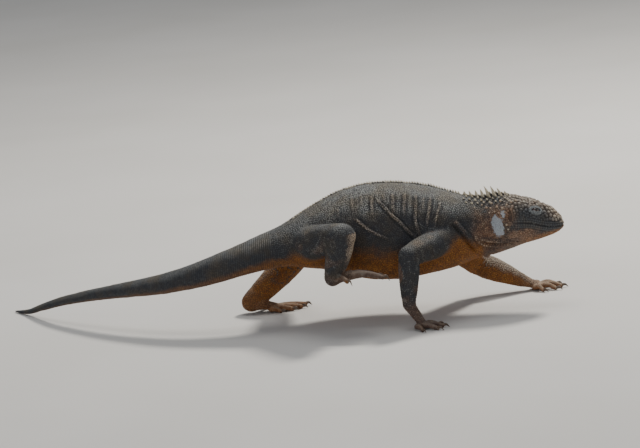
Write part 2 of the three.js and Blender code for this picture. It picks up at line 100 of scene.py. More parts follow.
# Digits from the inner to the outer: length, thickness, turn, how far back and to the side they start.
FINGERS = [
    (15, 3.6, 52, 9, 8.5),
    (22, 3.9, 24, 2, 6),
    (27, 4.1, 4, 0, 1),
    (26, 4.0, -18, 2, -5),
    (18, 3.6, -50, 9, -9),
]
TOES = [
    (16, 3.8, 32, 12, 9),
    (25, 4.2, 14, 4, 6.5),
    (35, 4.5, 3, 0, 1.5),
    (44, 4.6, -8, 0, -4.5),
    (27, 4.0, -42, 26, -10),
]
FEET = {
    "right_hand": dict(ankle=(119, -94, 36), front=(138, -98, 5.1), heading=-14, outer=-1, digits=FINGERS,
                       palm=(10.5, 5.5), floor=True, arch=5, reach=1),
    "left_hand": dict(ankle=(296, 99, 17), front=(323, 101, 5.1), heading=4, outer=1, digits=FINGERS,
                      palm=(10.5, 5.5), floor=True, arch=9, reach=1.2),
    "right_foot": dict(ankle=(12, -88, 84.5), front=(42, -93, 87), heading=-8, outer=-1, digits=TOES,
                       palm=(12, 6), floor=False, arch=7, reach=1),
    "left_foot": dict(ankle=(-113, 101, 18), front=(-74, 106, 5.6), heading=8, outer=1, digits=TOES,
                      palm=(12, 6), floor=True, arch=3, reach=1),
}
CLAW_LENGTH = 11

# The face, the same on both sides, by places along the head and heights.
EYE = dict(x=317, z=146.5, radius=6.6, depth=3.9, lids=(10.6, 6.9), slit=(6.4, 3.0))
MOUTH = [(284, 131.5), (295, 131), (309, 128.3), (322, 123.8), (336, 119.8), (349, 117.8)]
MOUTH_FRONT = (358.2, -1, 117.6)
NOSTRIL = dict(x=347, z=129.5, rim=2.7, pit=1.3)
EARDRUM = dict(x=278.5, z=143, half=(3.6, 8.6))

# Brow, hollow before the eye, temple, hollow behind it, jowl, snout and jaw: place, half sizes and
# how far each stands out.
FACE_FORMS = [
    (317, 155.5, (17, 3.4), 1.8),
    (331, 145, (8, 4), -1.4),
    (302, 141, (13, 5), 1.3),
    (296, 153, (9, 4), -0.9),
    (286, 118, (15, 9), 1.8),
    (345, 137, (6, 4), 0.9),
    (300, 112, (20, 4), 0.7),
]

# Spines of the back and of the nape.
CREST = dict(start=-46, end=210, step=3.9, height=4.4, long=2.1, wide=1.2, lean=0.4)
NAPE_HEIGHTS = (6.5, 8.5, 10.5, 13, 17.5, 16.5, 11.5, 6.5)
NAPE = dict(start=216, step=8.6, heights=NAPE_HEIGHTS, long=3.0, wide=1.8, lean=0.32)

# Loose folds of skin, as places along the trunk and heights, and how far each stands out: those of
# the right flank, the one before each shoulder, which meets below the throat, and those of the neck.
FLANK_FOLDS = [
    ([(48, 188), (46, 172)], 0.9),
    ([(79, 190), (78, 176), (77, 158)], 1.5),
    ([(86, 185), (104, 167), (122, 150), (137, 133), (150, 118)], 1.9),
    ([(97, 190), (98, 178)], 0.8),
    ([(111, 190), (111, 176), (109, 158)], 1.3),
    ([(129, 188), (128, 174), (126, 156)], 1.5),
    ([(145, 186), (144, 168), (143, 150), (148, 132), (154, 120)], 1.7),
    ([(156, 180), (154, 164)], 0.9),
    ([(166, 180), (164, 166), (160, 150), (158, 136)], 1.3),
    ([(180, 172), (175, 156), (168, 138)], 1.0),
    ([(24, 176), (22, 162)], 0.7),
    ([(62, 190), (61, 176)], 0.8),
    ([(46, 164), (60, 152), (75, 142), (92, 134), (107, 127)], 1.1),
]
THROAT_FOLD = [(197, 146), (212, 127), (224, 107), (234, 92)]
THROAT_FOLD_UNDER = (243, -1, 80)
NECK_FOLDS = [
    ([(231.6, 114), (249, 108), (271, 105), (285, 106.5), (300, 104)], 1.6),
    ([(226, 121), (233, 108), (247, 100), (262, 97)], 1.1),
    ([(238, 150), (237, 138), (240, 126)], 0.8),
    ([(226, 150), (226, 138), (230, 128)], 0.7),
    ([(252, 152), (250, 138), (253, 124)], 0.8),
    ([(212, 150), (214, 140), (219, 130)], 0.7),
    ([(268, 134), (266, 124), (268, 114)], 0.7),
]

# Camera: it looks along +Y from 5 m, 11 degrees down, rolled to the slope that the ground has.
PHOTO_SIZE = (640, 448)
CAMERA_DISTANCE = 5.0
CAMERA_DOWN = math.radians(11.0)
GROUND_SLOPE = 0.085
PIXELS_PER_METRE = 678.6
CAMERA_TARGET = (0, 0, 148.3)
SENSOR = 36.0

# Edge of the orange underside, and strength of the pale back, dust and partly a painted highlight on its lit
# top, at places along the body.
UNDER_EDGE = (
    [-480, -200, -60, -20, 20, 90, 120, 160, 200, 240, 262],
    [0.24, 0.26, 0.3, 0.36, 0.36, 0.34, 0.3, 0.46, 0.44, 0.3, 0.2],
)
UNDER_STRENGTH = ([TAIL_END, -260, -140, -70, -25, 262, 300], [0.2, 0.3, 0.45, 0.75, 1, 1, 0])
DUST_AND_HIGHLIGHT_ALONG = ([-480, -150, -58, 0, 60, 200, 225, 250, 266], [0.25, 0.35, 0.5, 0.85, 1, 1, 0.5, 0.25, 0.3])

# Longest digit with its claw, for the markings.
DIGIT_REACH = 42

# The coat: its depth over the skin, how far a scale's foot is sunk, and where the tail's whorls end.
COAT_DEPTH = 0.5
ROOT_DEPTH = 0.5
RINGED_TAIL_END = -74
COARSE = 1.0
SKIN_VOXEL = 1.25
GRAIN, SCUTE = 0, 1
PIECE_SCALES = {GRAIN: 9500, SCUTE: 4750}
PATCH = 0.0014

# Rows of lip plates: height off the mouth line, spacing, half sizes and thickness.
LIP_ROWS = (
    (2.7, 4.3, (2.3, 1.85), 0.75),
    (6.0, 3.4, (1.85, 1.7), 0.6),
    (-2.7, 4.0, (2.2, 1.8), 0.7),
    (-5.9, 3.3, (1.85, 1.7), 0.55),
)

# Larger blunt cones at the side of the nape, behind the eardrum and down the jaw's edge: place and size.
SIDE_CONES = (
    (246, 156, 2.6), (253, 161, 2.9), (260.5, 156, 3.1), (267, 163, 3.2), (268, 154, 2.7),
    (275, 158, 2.9), (256, 150, 2.2), (240, 160, 2.2), (262, 148, 2.1), (272, 131, 2.3),
    (274, 124, 2.1), (282, 161, 2.9), (289, 162, 2.8), (234, 163, 1.9), (229, 158, 1.7),
    (249, 149, 1.9), (243, 163, 2.4), (265, 142, 1.8), (251, 155, 2.0), (271, 149, 2.2),
)

# Rows of grains on the eyelids, from the slit outwards: share of the way, and size.
LID_GRAINS = ((0.16, 0.5), (0.34, 0.58), (0.52, 0.66), (0.7, 0.78), (0.88, 0.95), (1.04, 1.05))

FLOOR_RADIUS = 30.0


# Curves and lofts that follow the ones the solids are made with.

def catmull(points, t, centripetal=True):
    """Points of a Catmull-Rom curve at parameters from 0 to 1, as arrays."""
    points = np.asarray(points, float)
    t = np.atleast_1d(np.clip(t, 0, 1))
    padded = np.vstack([2 * points[0] - points[1], points, 2 * points[-1] - points[-2]])
    span = np.minimum((t * (len(points) - 1)).astype(int), len(points) - 2)
    w = (t * (len(points) - 1) - span)[:, None]
    p0, p1, p2, p3 = (padded[span + i] for i in range(4))
    if centripetal:
        pairs = ((p0, p1), (p1, p2), (p2, p3))
        gaps = [np.sum((b - a) ** 2, axis=1, keepdims=True) ** 0.25 for a, b in pairs]
        d1 = np.where(gaps[1] < 1e-4, 1, gaps[1])
        d0 = np.where(gaps[0] < 1e-4, d1, gaps[0])
        d2 = np.where(gaps[2] < 1e-4, d1, gaps[2])
        m1 = ((p1 - p0) / d0 - (p2 - p0) / (d0 + d1) + (p2 - p1) / d1) * d1
        m2 = ((p2 - p1) / d1 - (p3 - p1) / (d1 + d2) + (p3 - p2) / d2) * d1
    else:
        m1 = (p2 - p0) / 2
        m2 = (p3 - p1) / 2
    return p1 + m1 * w + (3 * (p2 - p1) - 2 * m1 - m2) * w**2 + (2 * (p1 - p2) + m1 + m2) * w**3


def unit(v):
    return v / np.maximum(np.linalg.norm(v, axis=-1, keepdims=True), 1e-12)


def step_between(low, high, value):
    """0 below low, 1 above high and smooth between, either way round."""
    share = np.clip((value - low) / (high - low), 0, 1)
    return share * share * (3 - 2 * share)


def stretch(value, start, full, fading, end):
    """1 from full to fading, and smoothly down to 0 at start and at end."""
    return step_between(start, full, value) * step_between(end, fading, value)


def travelled_along(path):
    """Length of a polyline up to each of its points."""
    return np.concatenate([[0], np.cumsum(np.linalg.norm(np.diff(path, axis=0), axis=1))])


def circle(sides):
    """Cosines and sines of evenly spaced turns."""
    turn = np.linspace(0, 2 * math.pi, sides, endpoint=False)
    return np.cos(turn), np.sin(turn)


def superellipse(angle, square):
    c, s = np.cos(angle), np.sin(angle)
    return np.sign(c) * np.abs(c) ** (2 / square), np.sign(s) * np.abs(s) ** (2 / square)


class Trunk:
    """The body from tail tip to snout, with upright sections."""

    domed = False

    def curve(self, t):
        return catmull(TRUNK[:, [0, 1, 4]], t)

    def frames(self, t):
        place = self.curve(t)
        ahead = self.curve(np.minimum(t + 1e-4, 1)) - self.curve(np.maximum(t - 1e-4, 0))
        ahead[:, 2] = 0
        heading = unit(ahead)
        side = np.stack([-heading[:, 1], heading[:, 0], np.zeros(len(place))], axis=1)
        return place, heading, side, catmull(TRUNK[:, [2, 3, 5]], t), catmull(TRUNK[:, [6, 7]], t)

    def points(self, t, angle, grow=0.0):
        t, angle = np.broadcast_arrays(np.atleast_1d(t), np.atleast_1d(angle))
        place, _, side, size, square = self.frames(t)
        upper = np.sin(angle) >= 0
        across, high = superellipse(angle, np.where(upper, square[:, 0], square[:, 1]))
        reach = np.where(upper, size[:, 0] - place[:, 2], place[:, 2] - size[:, 1])
        point = place + side * (across * (size[:, 2] + grow))[:, None]
        point[:, 2] += high * (reach + grow)
        return point

    def along(self, t):
        return unit(self.curve(np.minimum(t + 1e-3, 1)) - self.curve(np.maximum(t - 1e-3, 0)))


class Bar:
    """A limb segment or digit: an elliptical section swept along a short curve."""

    domed = True

    def __init__(self, name, points, sizes, ahead=(0, 0, 1)):
        self.name, self.path, self.sizes = name, np.array(points, float), np.array(sizes, float)
        self.ahead = np.array(ahead, float)

    def curve(self, t):
        return catmull(self.path, t)

    def frames(self, t):
        place = self.curve(t)
        tangent = self.along(t)
        side = unit(np.cross(self.ahead, tangent))
        return place, tangent, side, np.cross(tangent, side), catmull(self.sizes, t, centripetal=False)

    def along(self, t):
        return unit(self.curve(np.minimum(t + 1e-4, 1)) - self.curve(np.maximum(t - 1e-4, 0)))

    def points(self, t, angle, grow=0.0):
        """Parameters below 0 and above 1 run over the domed ends."""
        t, angle = np.broadcast_arrays(np.atleast_1d(t).astype(float), np.atleast_1d(angle))
        place, tangent, side, up, size = self.frames(np.clip(t, 0, 1))
        beyond = np.where(t > 1, t - 1, np.where(t < 0, t, 0))
        shrink = np.sqrt(np.maximum(1 - beyond**2, 0))
        size = size + grow
        place = place + tangent * (beyond * size.min(axis=1))[:, None]
        place = place + side * (np.cos(angle) * size[:, 0] * shrink)[:, None]
        return place + up * (np.sin(angle) * size[:, 1] * shrink)[:, None]


def loft(rings):
    """Vertices and faces of a closed loft through rings of equal count, with a fan over each end."""
    count, sides = rings.shape[:2]
    index = np.arange(count * sides).reshape(count, sides)
    turned = np.roll(index, -1, axis=1)
    quads = np.stack([index[:-1], turned[:-1], turned[1:], index[1:]], axis=-1).reshape(-1, 4)
    first, last = count * sides, count * sides + 1
    start = np.stack([np.full(sides, first), turned[0], index[0]], axis=1)
    end = np.stack([np.full(sides, last), index[-1], turned[-1]], axis=1)
    points = np.vstack([rings.reshape(-1, 3), rings[0].mean(axis=0), rings[-1].mean(axis=0)])
    return points, [quads, np.vstack([start, end])]


def loft_part(part, rings, sides, grow):
    t = np.linspace(0, 1, rings)
    if part.domed:
        dome = np.sin(np.linspace(0.06, 0.97, 8) * math.pi / 2)
        t = np.concatenate([-dome[::-1], t, 1 + dome])
    angle = np.linspace(0, 2 * math.pi, sides, endpoint=False)
    grid_t, grid_angle = np.meshgrid(t, angle, indexing="ij")
    points = part.points(grid_t.ravel(), grid_angle.ravel(), grow)
    return loft(points.reshape(len(t), sides, 3))


TRUNK_PART = Trunk()
DENSE = np.linspace(0, 1, 4001)
DENSE_X = TRUNK_PART.curve(DENSE)[:, 0]


def trunk_at(x):
    """The trunk's parameter at a distance along the body."""
    return np.interp(x, DENSE_X, DENSE)


def skin_around(x, angle, side=1):
    """Place, outward direction and heading of the trunk's skin at a distance along it."""
    turn = angle if side > 0 else math.pi - angle
    along = trunk_at(np.array([x, x + 1, x - 1, x, x]))
    samples = TRUNK_PART.points(along, turn + np.array([0, 0, 0, 0.05, -0.05]))
    out = unit(np.cross(samples[3] - samples[4], samples[1] - samples[2]))
    heading = TRUNK_PART.frames(np.atleast_1d(trunk_at(x)))[1][0]
    return samples[0], out, unit(heading - out * heading.dot(out))


def skin_at(x, z, side):
    """The same, at a height."""
    turns = np.linspace(-math.pi / 2, math.pi / 2, 721)
    heights = TRUNK_PART.points(np.full(721, trunk_at(x)), turns)[:, 2]
    return skin_around(x, float(np.interp(z, heights, turns)), side)


def turned(degrees):
    angle = math.radians(degrees)
    return np.array([math.cos(angle), math.sin(angle), 0])


def limb_parts():
    """Every bar of flesh on the limbs, and the path and sizes of each claw."""
    bars, claws = [], {}
    for name, limb in LIMBS.items():
        root, middle, end = (np.array(j, float) for j in limb["joints"])
        r0, r1, r2 = limb["radii"]
        upper = [(r, r) for r in (r0, (r0 + r1) / 2 + 1.5, r1)]
        lower = [(r, r) for r in (r1 * 0.95, r1 * 0.98, r2)]
        bars.append(Bar(f"{name}_upper", [root, (root + middle) / 2, middle], upper, limb["ahead"]))
        bars.append(Bar(f"{name}_lower", [middle, middle + (end - middle) * 0.38, end], lower, limb["ahead"]))
        more, tips = foot_parts(limb["foot"], r2, **FEET[limb["foot"]])
        bars += more
        claws.update(tips)
    return bars, claws


def foot_parts(name, ankle_size, ankle, front, heading, outer, digits, palm, floor, arch, reach):
    """The palm and digits of a hand or foot, and the path and thickness of each claw."""
    base, tip = np.array(ankle, float), np.array(front, float)
    sizes = [(ankle_size, ankle_size), (palm[0] * 0.92, palm[1] + 1.5), palm]
    bars = [Bar(f"{name}_palm", [base, (base + tip) / 2, tip], sizes)]
    claws = {}
    forward = turned(heading)
    inward = np.array([-forward[1], forward[0], 0]) * -outer
    for i, (length, thick, turn, back, aside) in enumerate(digits):
        way = turned(heading - outer * turn)
        start = tip - forward * back + inward * aside
        low = thick * 0.8 - 0.4 if floor else start[2] - 3.5
        knuckle = start + way * length * reach * 0.5
        knuckle[2] = (start[2] + low) / 2 + arch * 0.5
        far = start + way * length * reach
        far[2] = low
        sizes = [(k * thick, k * thick) for k in (1.15, 1, 0.85)]
        bar = Bar(f"{name}_digit_{i + 1}", [start, knuckle, far], sizes)
        bars.append(bar)
        leaving = bar.along(np.array([1.0]))[0]
        path = [far - leaving, far + way * CLAW_LENGTH * 0.5 + (0, 0, 0.6), far + way * CLAW_LENGTH * 0.95]
        path[2][2] = 0.6 if floor else far[2] - 5.5
        claws[f"{name}_claw_{i + 1}"] = (path, thick)
    return bars, claws


BARS, CLAWS = limb_parts()

# The animal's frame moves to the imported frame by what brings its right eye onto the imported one.
eye_low, eye_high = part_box("right_eye")
eye_point, eye_out, _ = skin_at(EYE["x"], EYE["z"], -1)
SHIFT = np.array((eye_low + eye_high) / 2) / MM - (eye_point - eye_out * EYE["depth"])


def to_world(points):
    return (np.asarray(points, float) + SHIFT) * MM


def to_own(points):
    """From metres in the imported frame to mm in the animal's own frame."""
    return points / MM - SHIFT


# Camera.

def make_camera():
    down, roll = CAMERA_DOWN, math.atan(GROUND_SLOPE)
    back = Vector((0, -math.cos(down), math.sin(down)))
    level_up = Vector((0, math.sin(down), math.cos(down)))
    right = Vector((math.cos(roll), 0, 0)) - level_up * math.sin(roll)
    up = Vector((math.sin(roll), 0, 0)) + level_up * math.cos(roll)
    camera = bpy.data.objects.new("camera", bpy.data.cameras.new("camera"))
    bpy.context.scene.collection.objects.link(camera)
    place = Vector(to_world(CAMERA_TARGET)) + back * CAMERA_DISTANCE
    camera.matrix_world = Matrix.Translation(place) @ Matrix((right, up, back)).transposed().to_4x4()
    camera.data.sensor_width = SENSOR
    camera.data.sensor_fit = "HORIZONTAL"
    camera.data.lens = SENSOR * PIXELS_PER_METRE * CAMERA_DISTANCE / PHOTO_SIZE[0]
    camera.data.clip_end = 50
    bpy.context.scene.camera = camera


make_camera()


# Mesh making.

def mesh_object(name, points, faces):
    """A new object from points in metres and lists of face arrays of equal size each."""
    mesh = bpy.data.meshes.new(name)
    counts = [np.full(len(f), f.shape[1]) for f in faces]
    loops = np.concatenate([f.ravel() for f in faces])
    totals = np.concatenate(counts)
    mesh.vertices.add(len(points))
    mesh.vertices.foreach_set("co", np.asarray(points, np.float32).ravel())
    mesh.loops.add(len(loops))
    mesh.loops.foreach_set("vertex_index", loops.astype(np.int32))
    mesh.polygons.add(len(totals))
    starts = np.concatenate([[0], np.cumsum(totals)[:-1]])
    mesh.polygons.foreach_set("loop_start", starts.astype(np.int32))
    mesh.update(calc_edges=True)
    mesh.shade_smooth()
    made = bpy.data.objects.new(name, mesh)
    bpy.context.scene.collection.objects.link(made)
    return made


def mesh_arrays(mesh):
    """Places and normals of a mesh's vertices, and its edges."""
    co = np.empty(len(mesh.vertices) * 3, np.float32)
    mesh.vertices.foreach_get("co", co)
    normal = np.empty(len(mesh.vertices) * 3, np.float32)
    mesh.vertices.foreach_get("normal", normal)
    edges = np.empty(len(mesh.edges) * 2, np.int32)
    mesh.edges.foreach_get("vertices", edges)
    return co.reshape(-1, 3).astype(float), normal.reshape(-1, 3).astype(float), edges.reshape(-1, 2)


def set_points(mesh, co):
    mesh.vertices.foreach_set("co", np.asarray(co, np.float32).ravel())
    mesh.update()


def set_attribute(mesh, name, values):
    """A number or a colour for each vertex."""
    values = np.asarray(values, np.float32)
    kind, key = ("FLOAT", "value") if values.ndim == 1 else ("FLOAT_COLOR", "color")
    layer = mesh.attributes.new(name, kind, "POINT")
    layer.data.foreach_set(key, values.ravel())


def merge(parts):
    """One set of points and faces from several lofts."""
    points, faces, offset = [], [], 0
    for part_points, part_faces in parts:
        points.append(part_points)
        faces += [f + offset for f in part_faces]
        offset += len(part_points)
    return np.vstack(points), faces


# The skin: every loft joined in one surface, which is then sculpted.

def make_base_skin():
    parts = [loft_part(TRUNK_PART, 360, 96, -COAT_DEPTH)]
    for bar in BARS:
        small = "digit" in bar.name
        parts.append(loft_part(bar, 14 if small else 28, 20 if small else 40, -COAT_DEPTH * 0.6))
    points, faces = merge(parts)
    rough = mesh_object("skin_base", to_world(points), faces)
    remesh = rough.modifiers.new("remesh", "REMESH")
    remesh.mode = "VOXEL"
    remesh.voxel_size = SKIN_VOXEL * MM
    remesh.adaptivity = 0
    evaluated = rough.evaluated_get(bpy.context.evaluated_depsgraph_get())
    mesh = bpy.data.meshes.new_from_object(evaluated)
    bpy.data.objects.remove(rough)
    skin = bpy.data.objects.new("skin", mesh)
    bpy.context.scene.collection.objects.link(skin)
    return skin


def relax(co, edges, weight, rounds):
    """Moves each point towards the mean of its neighbours, as far as its weight says."""
    degree = np.bincount(edges.ravel(), minlength=len(co))[:, None]
    for _ in range(rounds):
        total = np.empty_like(co)
        for axis in range(3):
            total[:, axis] = np.bincount(edges[:, 0], co[edges[:, 1], axis], len(co))
            total[:, axis] += np.bincount(edges[:, 1], co[edges[:, 0], axis], len(co))
        co = co + (total / np.maximum(degree, 1) - co) * weight[:, None] * 0.6
    return co


def distance_to_path(points, path):
    """Distance to a polyline, the share of its length at the nearest point, and the offset from it."""
    best = np.full(len(points), np.inf)
    share = np.zeros(len(points))
    offset = np.zeros_like(points)
    lengths = np.linalg.norm(np.diff(path, axis=0), axis=1)
    before = np.concatenate([[0], np.cumsum(lengths)[:-1]])
    for a, b, length, start in zip(path[:-1], path[1:], lengths, before):
        along = np.clip((points - a) @ (b - a) / length**2, 0, 1)
        away = points - (a + along[:, None] * (b - a))
        distance = np.linalg.norm(away, axis=1)
        nearer = distance < best
        best = np.where(nearer, distance, best)
        share = np.where(nearer, (start + along * length) / lengths.sum(), share)
        offset = np.where(nearer[:, None], away, offset)
    return best, share, offset


def noise_at(points, scale, seed=0.0):
    """Smooth noise between about -1 and 1 at points in mm."""
    offset = Vector((seed * 17.3, seed * 5.1, seed * 9.7))
    return np.array([noise.noise(Vector(p) * scale + offset) for p in points])


def near(points, centre, radius):
    """Indices of the points within a box around a centre."""
    return np.flatnonzero(np.all(np.abs(points - np.asarray(centre)) < radius, axis=1))


def near_path(points, path, reach):
    low, high = path.min(axis=0) - reach, path.max(axis=0) + reach
    return np.flatnonzero(np.all((points > low) & (points < high), axis=1))


def oval_radius(away, axes, half):
    """How far offsets lie from the centre of an oval with half sizes along two axes, 1 on its rim."""
    return np.sqrt((away @ axes[0] / half[0]) ** 2 + (away @ axes[1] / half[1]) ** 2)


def add_ridge(points, normals, path, height, width, ditch=0.0, lean=None):
    """Raises a ridge along a path between two valleys, the deeper on the side that lean points to."""
    chosen = near_path(points, path, width * 4)
    distance, share, offset = distance_to_path(points[chosen], path)
    fade = stretch(share, 0, 0.16, 0.8, 1)
    valley = np.exp(-(((distance - width * 2.1) / width) ** 2))
    if lean is not None:
        towards = offset @ unit(np.asarray(lean, float)) / np.maximum(distance, 0.1)
        valley = valley * (0.3 + 1.4 * step_between(-0.5, 0.5, towards))
    lift = height * np.exp(-((distance / width) ** 2)) - ditch * valley
    points[chosen] += normals[chosen] * (lift * fade)[:, None]


def fold_path(places, side):
    path = np.array([skin_at(x, z, side)[0] for x, z in places])
    return catmull(path, np.linspace(0, 1, 24 if len(path) > 2 else 6))


def sculpt(skin):
    """Softens the joins, then adds folds, the face's forms and the limbs' creases."""
    co, _, edges = mesh_arrays(skin.data)
    co = to_own(co)
    weight = np.full(len(co), 0.25)
    for limb in LIMBS.values():
        root, middle, end = (np.array(j, float) for j in limb["joints"])
        joins = (root + (middle - root) * 0.35, middle, end)
        for place, radius, spread in zip(joins, limb["radii"], (1.5, 1.3, 1.6)):
            reach, away = radius * spread, np.linalg.norm(co - place, axis=1)
            weight = np.maximum(weight, step_between(reach * 1.35, reach * 0.7, away))
    co = relax(co, edges, weight, 22)
    set_points(skin.data, to_world(co))
    _, normal, _ = mesh_arrays(skin.data)

    for places, height in FLANK_FOLDS:
        path = fold_path(places, -1)
        path[:, 0] += np.sin(np.arange(len(path)) * 0.9 + height * 9) * 0.6
        add_ridge(co, normal, path, height * 1.5, 1.6, height)
    for side in (-1, 1):
        for places, height in NECK_FOLDS:
            path = fold_path(places, side)
            add_ridge(co, normal, path, height * 1.35, 2.1, height * 0.9, lean=(0.6, 0, -0.7))
        throat = fold_path(THROAT_FOLD, side)
        add_ridge(co, normal, throat, 3.0, 2.6, 3.2, lean=(-0.85, 0, -0.5))
        shape_face(co, normal, side)
    under = np.array([fold_path(THROAT_FOLD, -1)[-1], THROAT_FOLD_UNDER, fold_path(THROAT_FOLD, 1)[-1]])
    add_ridge(co, normal, catmull(under, np.linspace(0, 1, 16)), 2.2, 2.8, 2.4, lean=(-1, 0, 0))
    add_ridge(co, normal, mouth_path(0), -1.5, 1.0)
    shape_body(co, normal)
    co[:, 2] = np.maximum(co[:, 2], 0.15)
    set_points(skin.data, to_world(co))


def mouth_path(rise):
    """The line of the mouth from the right corner round to the left one, or a line above or below it."""
    sides = [[skin_at(x, z + rise, s)[0] for x, z in MOUTH] for s in (-1, 1)]
    path = sides[0] + [np.array(MOUTH_FRONT) + (0, 0, rise)] + sides[1][::-1]
    return catmull(np.array(path), np.linspace(0, 1, 64))


def blob(points, normals, centre, half, height, axes):
    """Raises or sinks an oval patch whose half sizes lie along two given directions."""
    chosen = near(points, centre, max(half) * 2.4)
    radius = oval_radius(points[chosen] - centre, axes, half)
    points[chosen] += normals[chosen] * (height * np.exp(-(radius**2) * 1.2))[:, None]


def shape_face(co, normal, side):
    """The broad forms of one side of the face, a sunk eardrum, a nostril and the socket of the eye."""
    upright = np.array([0, 0, 1.0])
    for x, z, half, height in FACE_FORMS:
        point, out, along = skin_at(x, z, side)
        blob(co, normal, point, half, height, (along, unit(np.cross(along, out) * side)))
    ear, ear_out, ear_along = skin_at(EARDRUM["x"], EARDRUM["z"], side)
    chosen = near(co, ear, 16)
    radius = oval_radius(co[chosen] - ear, (ear_along, upright), EARDRUM["half"])
    lift = 0.9 * np.exp(-(((radius - 1.35) / 0.3) ** 2)) - 2.0 * step_between(1.15, 0.75, radius)
    co[chosen] += ear_out * lift[:, None]
    nostril, nostril_out, _ = skin_at(NOSTRIL["x"], NOSTRIL["z"], side)
    chosen = near(co, nostril, 9)
    radius = np.linalg.norm(co[chosen] - nostril, axis=1)
    pit = step_between(NOSTRIL["rim"] * 0.85, NOSTRIL["pit"] * 0.5, radius)
    lift = 0.9 * np.exp(-(((radius - NOSTRIL["rim"]) / 1.2) ** 2)) - 2.2 * pit
    co[chosen] += nostril_out * lift[:, None]
    eye, eye_out, eye_along = skin_at(EYE["x"], EYE["z"], side)
    chosen = near(co, eye, 16)
    half = (EYE["slit"][0] * 1.25, EYE["slit"][1] * 1.7)
    radius = oval_radius(co[chosen] - eye, (eye_along, upright), half)
    co[chosen] -= eye_out * (6.5 * step_between(1.1, 0.7, radius))[:, None]


def shape_body(co, normal):
    """Broad unevenness of the flesh and the creases on the inside of each bend."""
    lumps = noise_at(co, 0.035, 3) * 0.55 + noise_at(co, 0.11, 5) * 0.3
    calm = step_between(300, 270, co[:, 0]) * step_between(3, 9, co[:, 2])
    co += normal * (lumps * calm)[:, None]
    for limb in LIMBS.values():
        root, middle, end = (np.array(j, float) for j in limb["joints"])
        bend = unit(unit(middle - root) - unit(end - middle))
        inner = middle - bend * limb["radii"][1] * 0.9
        chosen = near(co, inner, 26)
        away = co[chosen] - inner
        wave = np.sin((away @ unit(end - root)) * 1.1) * np.exp(-((np.linalg.norm(away, axis=1) / 15) ** 2))
        co[chosen] += normal[chosen] * (wave * 0.7)[:, None]
        groin = root + (middle - root) * 0.5
        chosen = near(co, groin, 40)
        away = co[chosen] - groin
        wander = noise_at(co[chosen], 0.05, 8) * 5
        wave = np.sin((away @ unit(middle - root) + wander) * 1.25)
        wave = wave * np.exp(-((np.linalg.norm(away, axis=1) / 24) ** 2))
        below = step_between(0.5, -0.3, normal[chosen][:, 2])
        co[chosen] += normal[chosen] * (wave * 0.5 * below)[:, None]


# Markings: how far each spot is orange underside, peach brown, pale with dust and painted highlight, or bare
# shed skin.

def trunk_section(points):
    """Height between belly, 0, and back, 1, turn round the section, and mm outside the trunk."""
    place, _, side, size, square = TRUNK_PART.frames(trunk_at(points[:, 0]))
    away = points - place
    upper = away[:, 2] >= 0
    reach = np.maximum(np.where(upper, size[:, 0] - place[:, 2], place[:, 2] - size[:, 1]), 0.5)
    power = np.where(upper, square[:, 0], square[:, 1])
    across = np.sum(away * side, axis=1) / np.maximum(size[:, 2], 0.5)
    rise = away[:, 2] / reach
    radius = (np.abs(across) ** power + np.abs(rise) ** power) ** (1 / power)
    high = (points[:, 2] - size[:, 1]) / np.maximum(size[:, 0] - size[:, 1], 1)
    return high, np.arctan2(rise, across), (radius - 1) * np.minimum(size[:, 2], reach)


def fold_shares(points, folds, side, width):
    """How much each point lies on the crest of a fold, and in the valleys beside it."""
    crest, valley = np.zeros(len(points)), np.zeros(len(points))
    for places, height in folds:
        path = fold_path(places, side)
        chosen = near_path(points, path, width * 5)
        distance, along, _ = distance_to_path(points[chosen], path)
        fade = stretch(along, 0, 0.1, 0.4, 1) * min(1, height / 1.4)
        top = np.exp(-((distance / width) ** 2)) * fade
        beside = np.exp(-(((distance - width * 2.3) / width) ** 2)) * fade
        crest[chosen] = np.maximum(crest[chosen], top)
        valley[chosen] = np.maximum(valley[chosen], beside)
    return crest, valley


def shed_share(points, wander):
    """The bare patch of shed skin on the right side of the neck, with a small one beside it."""
    x, z = points[:, 0], points[:, 2]
    large = ((x - 259 + (z - 131) * 0.1) / 7.4) ** 2 + ((z - 130) / 15.5) ** 2
    small = ((x - 268) / 3.6) ** 2 + ((z - 146) / 4.5) ** 2
    return step_between(1.25, 0.95, np.minimum(large, small) + wander) * (points[:, 1] < 0)


